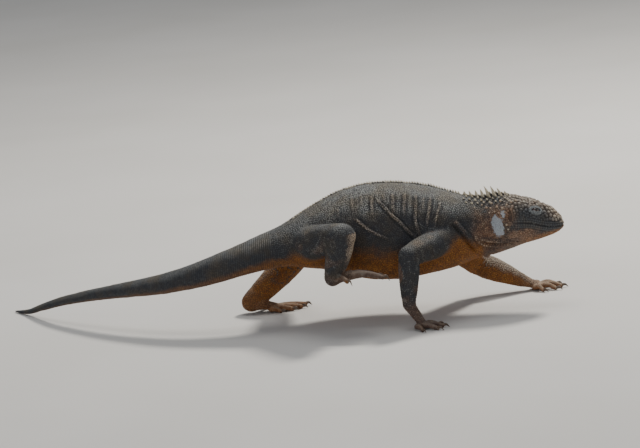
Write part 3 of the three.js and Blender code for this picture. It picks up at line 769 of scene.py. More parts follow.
def trunk_marks(points):
    """Markings of tail, body, neck and head by place along them and height of the section."""
    x = points[:, 0]
    high = trunk_section(points)[0]
    patchy = noise_at(points, 0.045, 1)
    fine = noise_at(points, 0.16, 2)
    # Orange below, and peach brown over the neck, cheek and jaw, darker on the dewlap.
    edge = np.interp(x, *UNDER_EDGE)
    under = step_between(edge + 0.12, edge - 0.1, high + patchy * 0.06 + fine * 0.05)
    under = under * np.interp(x, *UNDER_STRENGTH)
    under = np.maximum(under, step_between(255, 285, x) * step_between(0.26, 0.1, high) * 0.75)
    neck = stretch(x, 212, 236, 274, 294) * step_between(0.96, 0.7, high + fine * 0.15)
    cheek = stretch(x, 266, 280, 296, 330) * step_between(0.44, 0.3, high + fine * 0.06)
    jaw = step_between(300, 320, x) * step_between(0.3, 0.14, high) * 0.5
    warm = np.maximum(neck * (0.6 + patchy * 0.9 + fine * 0.5), np.maximum(cheek * 0.95, jaw))
    dewlap = stretch(x, 231, 239, 284, 304) * step_between(0.32, 0.22, high + fine * 0.03)
    under = under * (1 - cheek * 0.5) * (1 - dewlap * 0.8)
    warm = warm * (1 - dewlap * 0.45)
    # Dust, partly a painted highlight on the lit top, along the back, in specks down the flanks, on the crests
    # of folds and over crown and snout.
    ridge = step_between(0.64, 0.9, high + patchy * 0.12)
    dust_and_highlight = ridge * np.interp(x, *DUST_AND_HIGHLIGHT_ALONG)
    speckle = step_between(0.05, 0.5, fine + patchy * 0.5) * step_between(0.42, 0.72, high)
    dust_and_highlight = np.maximum(dust_and_highlight, speckle * 0.42 * stretch(x, -80, -40, 240, 262))
    # The flank folds' crests are pale worn skin and partly a painted highlight; the valleys beside them lose
    # their dust, which is painted shade.
    crest, valley = fold_shares(points, FLANK_FOLDS, -1, 1.7)
    crest = np.clip(crest * (1.9 + fine), 0, 1)
    dust_and_highlight = np.maximum(dust_and_highlight * (1 - 0.9 * valley), crest)
    snout = step_between(326, 346, x) * step_between(0.5, 0.74, high)
    crown = step_between(266, 276, x) * step_between(0.8, 0.95, high)
    head = np.maximum(snout * 0.95, crown * 0.75) * (0.85 + fine * 0.5)
    dust_and_highlight = np.clip(np.maximum(dust_and_highlight, np.maximum(head, 0.1 * step_between(262, 270, x))), 0, 1)
    warm = np.maximum(warm, np.maximum(head * 0.5, crest * 0.35))
    # Painted highlight on the crests of the neck and throat folds, and painted shade in the valleys beside
    # them.
    for side in (-1, 1):
        lit, shade = fold_shares(points, [*NECK_FOLDS[:2], (THROAT_FOLD, 2.4)], side, 1.5)
        lit = np.clip(lit * (1.2 + fine), 0, 1)
        under = np.maximum(under * (1 - 0.6 * shade), 0.2 * lit)
        warm = np.maximum(warm * (1 - 0.7 * shade), 0.8 * lit)
        dust_and_highlight = np.maximum(dust_and_highlight * (1 - 0.8 * shade), 0.7 * lit)
    shed = shed_share(points, fine * 0.5 + patchy * 0.2)
    return np.stack([np.clip(under, 0, 1), np.clip(warm, 0, 1), dust_and_highlight, shed], axis=1)


def limb_places(points):
    """The nearest limb of each point, its stage along it and mm beyond its thickness.

    Stages are 0 at the root, 1 at the elbow or knee, 2 at the wrist or ankle, 3 at the front of the
    palm and 4 at the tips of the digits."""
    best, stage = np.full(len(points), np.inf), np.zeros(len(points))
    which = np.zeros(len(points), int)
    for number, limb in enumerate(LIMBS.values()):
        foot = FEET[limb["foot"]]
        tips = np.array(foot["front"]) + turned(foot["heading"]) * DIGIT_REACH
        path = np.array([*limb["joints"], foot["front"], tips], float)
        places = travelled_along(path)
        places = places / places[-1]
        radii = (*limb["radii"], foot["palm"][0] * 1.6, DIGIT_REACH * 0.7)
        distance, along, _ = distance_to_path(points, path)
        beyond = distance - np.interp(along, places, radii)
        nearer = beyond < best
        best = np.where(nearer, beyond, best)
        which = np.where(nearer, number, which)
        stage = np.where(nearer, np.interp(along, places, range(5)), stage)
    return which, stage, best


def limb_marks(points, out, which, stage):
    """Markings of the limbs: orange inside and below, pale on top from dust and a painted highlight, with a
    rubbed right knee.
    """
    names = list(LIMBS)
    left = np.array([name.startswith("left") for name in names])[which]
    fore_left = which == names.index("left_fore")
    hind_left = which == names.index("left_hind")
    hind_right = which == names.index("right_hind")
    patchy = noise_at(points, 0.06, 4)
    fine = noise_at(points, 0.2, 6)
    inward = out[:, 1] * np.where(left, -1, 1)
    foot = step_between(1.75, 2.2, stage)
    creases = step_between(0.3, 0.9, np.sin(stage * 30 + patchy * 8)) * step_between(-0.5, 0.1, fine)
    creases = creases * hind_left * stretch(stage, 0.1, 0.3, 1.4, 1.7)
    # Upward-facing limb skin is pale: dust, and partly a painted highlight on the lit tops of limbs and feet.
    low = 0.35 - 0.4 * fore_left
    top = step_between(low, low + 0.5, out[:, 2] + patchy * 0.25)
    under = step_between(-0.1, 0.4, inward * 0.85 - out[:, 2] * 0.5 + patchy * 0.15 + hind_left * 0.35)
    under = under * (1 - 0.85 * top * fore_left) * (1 - np.where(left, 0.5, 0.9) * foot)
    under = under * (1 - 0.9 * creases)
    knee = step_between(0.3, 0.8, out[:, 0] + fine * 0.25) * stretch(stage, 0.55, 0.85, 1.2, 1.7)
    knee = knee * hind_right
    scurf = step_between(0.1, 0.5, fine + patchy * 0.4) * 0.3 * (1 - under)
    dust_and_highlight = np.maximum(np.maximum(top * np.where(left, 0.95, 0.55) * (1 - 0.5 * foot), knee), scurf)
    dust_and_highlight = dust_and_highlight * (1 - np.where(left, 0.5, 0.9) * under)
    warm = np.maximum(foot * np.where(left, 0.9, 0.42), 0.25 * step_between(0.1, 0.5, patchy))
    warm = np.maximum(warm, np.maximum(knee * 0.75, top * 0.65 * left))
    return np.clip(np.stack([under, warm, dust_and_highlight, np.zeros(len(points))], axis=1), 0, 1)


def body_marks(points, out):
    """Limbs and trunk have their own markings, which blend where a limb leaves the trunk."""
    which, stage, beyond = limb_places(points)
    outside = trunk_section(points)[2]
    on_limb = step_between(0.5, 9, outside) * step_between(14, 9, beyond)
    on_limb = np.where((points[:, 0] < -140) | (points[:, 2] > 152), 0, on_limb)[:, None]
    return trunk_marks(points) * (1 - on_limb) + limb_marks(points, out, which, stage) * on_limb


# Scales. Each is rooted on the skin at a place, lies along the body and has a patch of the unwrap.

class Scales:
    """Roots of many scales, kept as one array for each property."""

    keys = ("place", "out", "lie", "long", "wide", "tall", "peak", "uv", "kind", "paint")

    def __init__(self):
        self.parts = []

    def add(self, place, out, lie, sizes, uv, kind=GRAIN, jitter=0.1, paint=None):
        """Adds scales; paint, where given, is the markings they have whatever lies under them."""
        count = len(place)
        long, wide, tall, peak = (s * (1 + jitter * RANDOM.uniform(-1, 1, count)) for s in sizes)
        lie = lie_on(lie, out)
        lie = unit(lie + np.cross(out, lie) * RANDOM.normal(0, 0.12, count)[:, None])
        paint = np.full((count, 4), np.nan) if paint is None else np.broadcast_to(paint, (count, 4))
        values = (place, out, lie, long, wide, tall, peak, uv, np.full(count, kind), paint)
        self.parts.append(dict(zip(self.keys, values)))

    def gather(self):
        return {key: np.concatenate([part[key] for part in self.parts]) for key in self.keys}


def unwrap(part_index, t, angle):
    """A place on the unwrap of the skin: the trunk is the upper part, each bar a strip below."""
    turn, along = np.mod(angle / (2 * math.pi), 1), np.clip(t, 0, 1)
    if part_index == 0:
        return np.stack([0.01 + 0.98 * along, 0.42 + 0.56 * turn], axis=1)
    row, column = divmod(part_index - 1, 8)
    return np.stack([0.01 + 0.123 * (column + 0.92 * along), 0.01 + 0.098 * (row + 0.92 * turn)], axis=1)


def rows_on(part, along, across, first=0.0, last=1.0):
    """Parameters of roots in staggered rows, evenly spaced along and around a part."""
    t = np.linspace(first, last, 600)
    travelled = travelled_along(part.curve(t))
    found_t, found_angle = [], []
    at = 0.0
    row = 0
    ring_angle = np.linspace(0, 2 * math.pi, 121)
    while at < travelled[-1]:
        here = float(np.interp(at, travelled, t))
        ring = part.points(np.full(121, here), ring_angle)
        around = travelled_along(ring)
        middle = ring.mean(axis=0)
        count = max(5, round(around[-1] / across(middle)))
        where = (np.arange(count) + 0.5 * (row % 2)) / count * around[-1]
        found_angle.append(np.interp(where, around, ring_angle))
        found_t.append(np.full(count, here))
        at += along(middle)
        row += 1
    return np.concatenate(found_t), np.concatenate(found_angle)


class SkinSurface:
    """Finds the nearest place on the finished skin."""

    def __init__(self, skin):
        faces = [tuple(p.vertices) for p in skin.data.polygons]
        self.tree = BVHTree.FromPolygons([v.co for v in skin.data.vertices], faces)

    def nearest(self, points):
        """Places in mm, outward directions and distances, for points in mm."""
        place, out = np.empty((2, len(points), 3))
        gap = np.empty(len(points))
        for i, p in enumerate(to_world(points)):
            location, normal, _, distance = self.tree.find_nearest(Vector(p))
            place[i], out[i], gap[i] = location, normal, distance
        return to_own(place), out, gap / MM


def tree_of(points):
    tree = KDTree(len(points))
    for i, p in enumerate(points):
        tree.insert(p, i)
    tree.balance()
    return tree


def keep_clear(kept, fresh, reach):
    """Which of the fresh places lie farther than their reach from every kept one."""
    tree = tree_of(kept)
    return np.array([tree.find(p)[2] > r for p, r in zip(fresh, reach)], bool)


def throw_darts(places, reach, blocked=()):
    """Picks places in turn, each clear of those before it and of the blocked ones by its reach."""
    cell = float(np.max(reach))
    grid = {}
    steps = [(i, j, k) for i in (-1, 0, 1) for j in (-1, 0, 1) for k in (-1, 0, 1)]
    for p, r in blocked:
        grid.setdefault(tuple(np.floor(p / cell).astype(int).tolist()), []).append((*p, r))
    chosen = []
    keys = np.floor(places / cell).astype(int).tolist()
    for i, ((a, b, c), (x, y, z), r) in enumerate(zip(keys, places.tolist(), reach.tolist())):
        near_by = (q for da, db, dc in steps for q in grid.get((a + da, b + db, c + dc), ()))
        if all((x - qx) ** 2 + (y - qy) ** 2 + (z - qz) ** 2 > (r + s) ** 2 / 4 for qx, qy, qz, s in near_by):
            chosen.append(i)
            grid.setdefault((a, b, c), []).append((x, y, z, r))
    return np.array(chosen, int)


def away_from_face(places):
    """False inside the eyes, eardrums and nostrils."""
    clear = np.ones(len(places), bool)
    for side in (-1, 1):
        for spot, half in ((EYE, (9.6, 6.2)), (EARDRUM, (3.4, 8.4)), (NOSTRIL, (2.0, 2.0))):
            point, out, along = skin_at(spot["x"], spot["z"], side)
            away = places - point
            radius = oval_radius(away, (along, unit(np.cross(along, out))), half)
            clear &= (radius > 1) | (np.abs(away @ out) > 12)
    return clear


def lie_on(direction, out):
    """Directions turned into the plane of the skin."""
    return unit(direction - out * np.sum(direction * out, axis=1, keepdims=True))


def tail_scales(surface, scales):
    """Keeled scales in whorls, longer than wide, finer towards the tip."""
    def spaced(*gaps):
        places = [TAIL_END, -300, -120, RINGED_TAIL_END]
        return lambda middle: float(np.interp(middle[0], places, gaps)) * COARSE

    along, across = spaced(2.2, 3.0, 3.2, 2.7), spaced(1.6, 2.1, 2.3, 2.2)
    t, angle = rows_on(TRUNK_PART, along, across, 0.004, float(trunk_at(RINGED_TAIL_END)))
    place, out, gap = surface.nearest(TRUNK_PART.points(t, angle, -COAT_DEPTH))
    keep = gap < 3.6
    place, out, t, angle = place[keep], out[keep], t[keep], angle[keep]
    x = place[:, 0]
    size = np.interp(x, [TAIL_END, -300], [0.62, 1]) * COARSE
    soft = step_between(-120, RINGED_TAIL_END, x)
    sizes = ((1.9 - 0.45 * soft) * size, 1.25 * size, 0.8 * size, 0.6 - 0.3 * soft)
    scales.add(place, out, -TRUNK_PART.along(t), sizes, unwrap(0, t, angle))


def nearest_bar(points):
    """The number, share of length, turn and direction of the bar that each point lies on."""
    best, which = np.full(len(points), np.inf), np.zeros(len(points), int)
    t, angle = np.zeros((2, len(points)))
    along = np.zeros((len(points), 3))
    for number, bar in enumerate(BARS):
        if "digit" in bar.name:
            continue
        distance, share, offset = distance_to_path(points, bar.curve(np.linspace(0, 1, 12)))
        beyond = distance - np.interp(share, np.linspace(0, 1, len(bar.sizes)), bar.sizes.mean(axis=1))
        nearer = beyond < best
        _, tangent, side, up, _ = bar.frames(share)
        turn = np.arctan2(np.sum(offset * up, axis=1), np.sum(offset * side, axis=1))
        best = np.where(nearer, beyond, best)
        which = np.where(nearer, number, which)
        t = np.where(nearer, share, t)
        angle = np.where(nearer, turn, angle)
        along = np.where(nearer[:, None], tangent, along)
    return which, t, angle, along


def digit_scales(surface, scales):
    """Rows on the digits, with wider plates across their tops."""
    for number, bar in enumerate(BARS):
        if "digit" not in bar.name:
            continue
        t, angle = rows_on(bar, lambda c: 1.95 * COARSE, lambda c: 1.75 * COARSE)
        place, out, gap = surface.nearest(bar.points(t, angle, -COAT_DEPTH * 0.6))
        keep = gap < 2.2
        kept = scales.gather()["place"][-4000:]
        keep[keep] = keep_clear(kept, place[keep], np.full(int(keep.sum()), 1.35 * COARSE))
        place, out, t, angle = place[keep], out[keep], t[keep], angle[keep]
        if len(place):
            top = step_between(0.2, 0.8, out[:, 2])
            sizes = (1.12 * COARSE * (1 + 0.15 * top), COARSE * (1 + 0.45 * top), 0.5, 0.45)
            scales.add(place, out, bar.along(t), sizes, unwrap(number + 1, t, angle))


def grain_scales(skin, scales):
    """Small round scales without rows over the trunk, neck and limbs, flatter and larger below."""
    co, normal, _ = mesh_arrays(skin.data)
    co = to_own(co)
    _, stage, beyond = limb_places(co)
    on_body = (co[:, 0] > RINGED_TAIL_END - 4) & (co[:, 0] < HEAD_START - 2)
    ahead = (beyond < 4) & (co[:, 0] < HEAD_START + 60) & (co[:, 2] < 100)
    order = RANDOM.permutation(np.flatnonzero(on_body | ahead))
    place, out, stage, beyond = (v[order] for v in (co, normal, stage, beyond))
    high, turn, outside = trunk_section(place)
    on_limb = (outside > 4) & (beyond < 14)
    belly = np.where(on_limb, 0, step_between(0.24, 0.1, high))
    neck = np.where(on_limb, 0, step_between(208, 232, place[:, 0]))
    tiny = np.where(on_limb, step_between(1.6, 2.2, stage), 0)
    reach = (2.22 + 0.75 * belly - 0.12 * neck - 0.22 * tiny - 0.08 * on_limb) * COARSE
    clear = np.flatnonzero(keep_clear(scales.gather()["place"], place, reach * 0.8))
    picked = clear[throw_darts(place[clear], reach[clear])]
    place, out, reach, belly, on_limb, turn = (v[picked] for v in (place, out, reach, belly, on_limb, turn))
    number, t, angle, along = nearest_bar(place)
    along_trunk = trunk_at(place[:, 0])
    lie = np.where(on_limb[:, None], along, -TRUNK_PART.along(along_trunk))
    uv = unwrap(0, along_trunk, turn)
    for bar in np.unique(number[on_limb]):
        chosen = on_limb & (number == bar)
        uv[chosen] = unwrap(bar + 1, t[chosen], angle[chosen])
    tall = (0.34 * reach + 0.12 * RANDOM.uniform(-1, 1, len(place))) * (1 - 0.55 * belly)
    scales.add(place, out, lie, (reach * 0.62, reach * 0.56, tall, 0.3), uv)


def head_scales(surface, scales):
    """Plates along the lips, then scutes of mixed size over the rest of the head."""
    blocked = []
    for rise, gap, half, tall in LIP_ROWS:
        path = mouth_path(rise)
        travelled = travelled_along(path)
        where = np.arange(gap / 2, travelled[-1], gap)
        rough = np.stack([np.interp(where, travelled, path[:, axis]) for axis in range(3)], axis=1)
        place, out, _ = surface.nearest(rough)
        uv = unwrap(0, trunk_at(place[:, 0]), np.arctan2(place[:, 2] - 118, place[:, 1] + 1))
        scales.add(place, out, np.gradient(rough, axis=0), (*half, tall, 0.1), uv, SCUTE, 0.05)
        blocked += [(p, 1.96 * half[1]) for p in place]
    count = 60000
    t = RANDOM.uniform(trunk_at(HEAD_START - 4), 0.9995, count)
    angle = RANDOM.uniform(0, 2 * math.pi, count)
    place, out, _ = surface.nearest(TRUNK_PART.points(t, angle, -COAT_DEPTH))
    keep = away_from_face(place)
    place, out, t, angle = place[keep], out[keep], t[keep], angle[keep]
    high, x = trunk_section(place)[0], place[:, 0]
    crown = step_between(0.66, 0.86, high) * step_between(264, 280, x)
    nose = step_between(322, 340, x) * step_between(0.45, 0.62, high)
    brow = np.maximum(crown, nose)
    reach = 2.3 + 2.0 * brow + 0.5 * step_between(0.25, 0.1, high)
    reach += 0.5 * RANDOM.uniform(0, 1, len(place)) * step_between(0.3, 0.6, high)
    picked = throw_darts(place, reach, blocked)
    place, out, t, angle, brow, reach = (v[picked] for v in (place, out, t, angle, brow, reach))
    tall = 0.5 + 1.35 * brow * RANDOM.uniform(0.5, 1.1, len(place))
    backwards = np.tile((-1.0, 0, 0), (len(place), 1))
    sizes = (reach * 0.64, reach * 0.6, tall, 0.2 + 0.15 * brow)
    scales.add(place, out, backwards, sizes, unwrap(0, t, angle), SCUTE, 0.06)


def side_cones(surface, scales):
    """The pale blunt cones on both sides of the nape."""
    for side in (-1, 1):
        place, out, _ = surface.nearest(np.array([skin_at(x, z, side)[0] for x, z, _ in SIDE_CONES]))
        half = np.array([size for _, _, size in SIDE_CONES])
        turn = np.full(len(place), 0.4 if side > 0 else 2.7)
        backwards = np.tile((-1.0, 0, 0.2), (len(place), 1))
        sizes = (half * 0.74, half * 0.7, half * 0.95, 0.45)
        uv = unwrap(0, trunk_at(place[:, 0]), turn)
        scales.add(place, out, backwards, sizes, uv, SCUTE, paint=(0, 0.8, 0.72, 0))


# Shape of one scale: a sunk foot, a shoulder and a crown.

def scale_shape(sides, *rings):
    """Rings are (radius, height, shift back), of full size; the crown is 1 high and shifted by 1."""
    c, s = circle(sides)
    points = [np.stack([c * r, s * r, np.full(sides, h), np.full(sides, b)], axis=1) for r, h, b in rings]
    points = np.vstack([*points, (0, 0, 1, 1)])
    index = np.arange(sides * len(rings)).reshape(len(rings), sides)
    after = np.roll(index, -1, axis=1)
    quads = np.stack([index[:-1], after[:-1], after[1:], index[1:]], axis=-1).reshape(-1, 4)
    tris = np.stack([index[-1], after[-1], np.full(sides, sides * len(rings))], axis=1)
    tip = np.concatenate([np.full(sides, max(h, 0)) for _, h, _ in rings] + [[1.0]])
    return points, quads, tris, tip


SHAPES = {
    GRAIN: scale_shape(6, (1.0, 0, 0), (0.84, 0.62, 0.15)),
    SCUTE: scale_shape(8, (1.0, 0, 0), (0.93, 0.4, 0.05), (0.6, 0.82, 0.5)),
}


def coat_arrays(roots, kind):
    """Every point and face of the scales with these roots, and what each point carries."""
    shape, quads, tris, tip = SHAPES[kind]
    count, size = len(roots["place"]), len(shape)
    across = np.cross(roots["out"], roots["lie"])
    back = shape[None, :, 0] + shape[None, :, 3] * roots["peak"][:, None]
    aside = shape[None, :, 1] * roots["wide"][:, None]
    rise = np.where(shape[None, :, 2] > 0, shape[None, :, 2] * roots["tall"][:, None], -ROOT_DEPTH)
    points = roots["place"][:, None, :] + roots["lie"][:, None, :] * (back * roots["long"][:, None])[..., None]
    points = points + across[:, None, :] * aside[..., None]
    points = points + roots["out"][:, None, :] * rise[..., None]
    offset = (np.arange(count) * size)[:, None, None]
    uv = roots["uv"][:, None, :] + shape[None, :, :2] * PATCH
    return dict(
        points=points.reshape(-1, 3),
        faces=[(quads[None] + offset).reshape(-1, 4), (tris[None] + offset).reshape(-1, 3)],
        tip=np.tile(tip, count),
        tone=np.repeat(RANDOM.uniform(0, 1, count), size),
        marks=np.repeat(roots["marks"], size, axis=0),
        uv=uv.reshape(-1, 2),
    )


def make_coat(scales, material):
    """Joins the scales in pieces of neighbours, from the tail forwards."""
    roots = scales.gather()
    marks = body_marks(roots["place"], roots["out"])
    roots["marks"] = np.where(np.isnan(roots["paint"]), marks, roots["paint"])
    number = 0
    for kind, size in PIECE_SCALES.items():
        chosen = np.flatnonzero(roots["kind"] == kind)
        chosen = chosen[np.argsort(roots["place"][chosen, 0])]
        for start in range(0, len(chosen), size):
            number += 1
            part = {key: value[chosen[start:start + size]] for key, value in roots.items()}
            coat_piece(f"scales_{number:02d}", coat_arrays(part, kind), material)
    return roots


def coat_piece(name, arrays, material):
    points = to_world(arrays["points"])
    points[:, 2] = np.maximum(points[:, 2], 0)
    made = mesh_object(name, points, arrays["faces"])
    for key in ("tip", "tone", "marks"):
        set_attribute(made.data, key, arrays[key])
    layer = made.data.uv_layers.new(name="OFBake")
    loops = np.empty(len(made.data.loops), np.int32)
    made.data.loops.foreach_get("vertex_index", loops)
    layer.data.foreach_set("uv", arrays["uv"][loops].astype(np.float32).ravel())
    made.data.materials.append(material)
    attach(made, "root")


# Materials, all procedural. Colours are linear: dark hide, dust on it that also stands for a painted
# highlight, bleached horn and shed skin.

SLATE = (0.030, 0.034, 0.043)
# Pale dust, made brighter so it also stands for a painted highlight on the lit back.
DUST_AND_HIGHLIGHT = (0.41, 0.415, 0.39)
BONE = (0.60, 0.51, 0.37)
SHED = (0.40, 0.435, 0.47)


class Nodes:
    """Short ways to build a material's nodes."""

    def __init__(self, name):
        self.material = bpy.data.materials.new(name)
        self.material.use_nodes = True
        self.tree = self.material.node_tree
        self.tree.nodes.clear()
        self.shader = self.tree.nodes.new("ShaderNodeBsdfPrincipled")
        output = self.tree.nodes.new("ShaderNodeOutputMaterial")
        self.link(self.shader.outputs[0], output.inputs["Surface"])

    def link(self, source, target):
        if isinstance(source, bpy.types.NodeSocket):
            self.tree.links.new(source, target)
        elif isinstance(source, tuple) and len(source) == 3 and target.type == "RGBA":
            target.default_value = (*source, 1)
        else:
            target.default_value = source

    def attribute(self, name):
        node = self.tree.nodes.new("ShaderNodeAttribute")
        node.attribute_name = name
        return node

    def texture(self, kind, scale):
        node = self.tree.nodes.new(kind)
        where = self.tree.nodes.new("ShaderNodeTexCoord")
        self.link(where.outputs["Object"], node.inputs["Vector"])
        node.inputs["Scale"].default_value = scale
        return node

    def noise(self, scale, detail):
        node = self.texture("ShaderNodeTexNoise", scale)
        node.inputs["Detail"].default_value = detail
        node.inputs["Roughness"].default_value = 0.55
        return node.outputs["Fac"]

    def cells(self, scale):
        """Distance to the edges of cells."""
        node = self.texture("ShaderNodeTexVoronoi", scale)
        node.feature = "DISTANCE_TO_EDGE"
        return node.outputs["Distance"]

    def range(self, value, low, high, to_low=0.0, to_high=1.0):
        node = self.tree.nodes.new("ShaderNodeMapRange")
        self.link(value, node.inputs["Value"])
        for key, number in (("From Min", low), ("From Max", high), ("To Min", to_low), ("To Max", to_high)):
            node.inputs[key].default_value = number
        return node.outputs["Result"]

    def math(self, operation, a, b):
        node = self.tree.nodes.new("ShaderNodeMath")
        node.operation = operation
        self.link(a, node.inputs[0])
        self.link(b, node.inputs[1])
        return node.outputs[0]

    def mix(self, share, a, b):
        node = self.tree.nodes.new("ShaderNodeMix")
        node.data_type = "RGBA"
        self.link(share, node.inputs[0])
        self.link(a, node.inputs[6])
        self.link(b, node.inputs[7])
        return node.outputs[2]

    def bump(self, height, strength, distance):
        node = self.tree.nodes.new("ShaderNodeBump")
        self.link(height, node.inputs["Height"])
        node.inputs["Strength"].default_value = strength
        node.inputs["Distance"].default_value = distance
        self.link(node.outputs[0], self.shader.inputs["Normal"])

    def finish(self, colour, roughness):
        self.link(colour, self.shader.inputs["Base Color"])
        self.link(roughness, self.shader.inputs["Roughness"])
        return self.material


def hide_material(name, scales):
    """Skin or scales: the markings over slate, with fine mottling, crowns pale with dust and painted
    highlight, and dark joins.
    """
    n = Nodes(name)
    marks = n.attribute("marks")
    split = n.tree.nodes.new("ShaderNodeSeparateColor")
    n.link(marks.outputs["Color"], split.inputs[0])
    under, warm, dust_and_highlight = split.outputs[0], split.outputs[1], split.outputs[2]
    shed = marks.outputs["Alpha"]
    mottle = n.noise(210, 4)
    broad = n.noise(38, 3)
    # Slate, orange and peach, each mottled, and the pale dust and painted highlight over them.
    slate = n.mix(n.range(mottle, 0.36, 0.66), SLATE, (0.062, 0.064, 0.068))
    slate = n.mix(n.range(broad, 0.45, 0.7, 0, 0.7), slate, (0.085, 0.066, 0.045))
    orange = n.mix(n.range(mottle, 0.35, 0.68), (0.24, 0.074, 0.007), (0.40, 0.165, 0.026))
    orange = n.mix(n.range(broad, 0.52, 0.74, 0, 0.6), orange, (0.15, 0.062, 0.02))
    peach = n.mix(n.range(mottle, 0.35, 0.65), (0.20, 0.085, 0.042), (0.38, 0.225, 0.14))
    colour = n.mix(warm, slate, peach)
    colour = n.mix(under, colour, orange)
    pale = n.mix(n.range(broad, 0.4, 0.65), DUST_AND_HIGHLIGHT, (0.36, 0.33, 0.27))
    pale = n.mix(warm, pale, BONE)
    # Scales have crowns paled by the dust and painted highlight, and dark feet. The skin between them is
    # darker all over.
    if scales:
        tone = n.attribute("tone").outputs["Fac"]
        tip = n.attribute("tip").outputs["Fac"]
        colour = n.mix(n.range(tone, 0, 1, 0.0, 0.35), colour, (0.016, 0.013, 0.012))
        crown = n.math("MULTIPLY", n.range(tip, 0.1, 1, 0.45, 1), n.range(tone, 0.0, 1, 0.5, 1.05))
        colour = n.mix(n.math("MULTIPLY", n.math("MULTIPLY", dust_and_highlight, crown), 0.92), colour, pale)
        colour = n.mix(n.range(n.math("MULTIPLY", tip, mottle), 0.4, 0.75, 0, 0.1), colour, DUST_AND_HIGHLIGHT)
        colour = n.mix(n.range(tip, 0, 0.5, 0.5, 0), colour, (0.012, 0.010, 0.010))
    else:
        colour = n.mix(n.math("MULTIPLY", dust_and_highlight, 0.3), colour, pale)
        colour = n.mix(0.6, colour, (0.014, 0.011, 0.010))
    flaky = n.range(n.cells(420), 0.02, 0.16)
    colour = n.mix(n.math("MULTIPLY", shed, n.range(flaky, 0, 1, 0.6, 0.92)), colour, SHED)
    n.shader.inputs["Specular IOR Level"].default_value = 0.34
    n.bump(n.math("ADD", n.noise(1500, 3), n.math("MULTIPLY", mottle, 0.7)), 0.35, 0.0004)
    return n.finish(colour, n.range(mottle, 0.3, 0.7, 0.56, 0.82))


def spine_material():
    """Pale horn with a dark foot."""
    n = Nodes("spine_horn")
    tip = n.attribute("tip").outputs["Fac"]
    tone = n.attribute("tone").outputs["Fac"]
    streak = n.noise(330, 3)
    horn = n.mix(n.range(streak, 0.35, 0.65), (0.42, 0.34, 0.22), (0.72, 0.65, 0.50))
    bleached = n.range(n.math("ADD", tip, n.range(tone, 0, 1, -0.35, 0.25)), 0.1, 0.55)
    n.bump(n.noise(1300, 2), 0.3, 0.0004)
    return n.finish(n.mix(bleached, (0.030, 0.026, 0.024), horn), n.range(streak, 0.3, 0.7, 0.45, 0.7))


def claw_material():
    """Dark streaked horn, paler at its root."""
    n = Nodes("claw_horn")
    tip = n.attribute("tip").outputs["Fac"]
    streak = n.noise(260, 4)
    horn = n.mix(n.range(streak, 0.35, 0.65), (0.055, 0.033, 0.02), (0.13, 0.085, 0.055))
    colour = n.mix(n.range(tip, 0.0, 0.4, 0.75, 0), horn, (0.24, 0.15, 0.09))
    n.bump(n.noise(700, 3), 0.25, 0.0003)
    return n.finish(colour, n.range(streak, 0.3, 0.7, 0.3, 0.5))


def lid_material():
    """Blue-grey grains with dark gaps."""
    n = Nodes("eyelid_hide")
    tip = n.attribute("tip").outputs["Fac"]
    grain = n.noise(900, 3)
    colour = n.mix(n.range(grain, 0.38, 0.62), (0.10, 0.115, 0.125), (0.27, 0.28, 0.275))
    colour = n.mix(n.range(tip, 0.0, 0.5, 0.7, 0), colour, (0.03, 0.03, 0.033))
    n.bump(grain, 0.4, 0.0004)
    return n.finish(colour, n.range(grain, 0.3, 0.7, 0.5, 0.75))


def eye_material():
    """Iris and pupil by the distance from the eye's axis, which the mesh carries as an attribute."""
    n = Nodes("eye_glass")
    away = n.attribute("tip").outputs["Fac"]
    ray = n.noise(1600, 4)
    iris = n.mix(n.range(ray, 0.35, 0.65), (0.018, 0.007, 0.005), (0.062, 0.02, 0.012))
    iris = n.mix(n.range(away, 0.36, 0.43, 0.5, 0), iris, (0.20, 0.10, 0.03))
    iris = n.mix(n.range(away, 0.78, 0.95), iris, (0.03, 0.012, 0.01))
    colour = n.mix(n.range(away, 0.30, 0.335), (0.004, 0.004, 0.004), iris)
    n.shader.inputs["Coat Weight"].default_value = 1.0
    n.shader.inputs["Coat Roughness"].default_value = 0.03
    n.shader.inputs["Specular IOR Level"].default_value = 0.6
    return n.finish(colour, n.range(ray, 0.3, 0.7, 0.1, 0.18))


def floor_material():
    n = Nodes("studio_floor")
    return n.finish(n.mix(n.range(n.noise(2.2, 2), 0.3, 0.7), (0.60, 0.585, 0.555), (0.64, 0.625, 0.6)), 0.85)


# Crest and nape: blades rooted on the midline, each curved back to its point.

def lofted(rings, tips, tone):
    """A loft with its tip value at each ring and one tone."""
    points, faces = loft(np.array(rings))
    return points, faces, np.concatenate([np.repeat(tips, len(rings[0])), [0, 1]]), np.full(len(points), tone)


def blade(root, out, ahead, height, long, wide, lean, tone):
    """A spine of oval section that narrows and bends back, with a sunk foot."""
    sides, levels, blunt = 10, 7, 0.12
    c, s = circle(sides)
    across = unit(np.cross(out, ahead))
    rings = []
    for level in range(levels):
        share = level / levels
        size = (1 - share**1.6) ** 0.8
        sunk = 1.0 if level == 0 else 0
        centre = root + out * (height * share - sunk) - ahead * (lean * height * share**1.8)
        rings.append(centre + np.outer(c * long * size, ahead) + np.outer(s * wide * size, across))
    point = root + out * height - ahead * (lean * height)
    rings.append(point + np.outer(c, ahead) * blunt + np.outer(s, across) * blunt)
    return lofted(rings, np.linspace(0, 1, levels + 1), tone)


def top_of(surface, x):
    """The skin's place on the midline of the back at a distance along the body."""
    point, out, heading = skin_around(x, math.pi / 2)
    place, _, _ = surface.nearest(point[None])
    return place[0], unit(out + (0, 0, 0.6)), heading


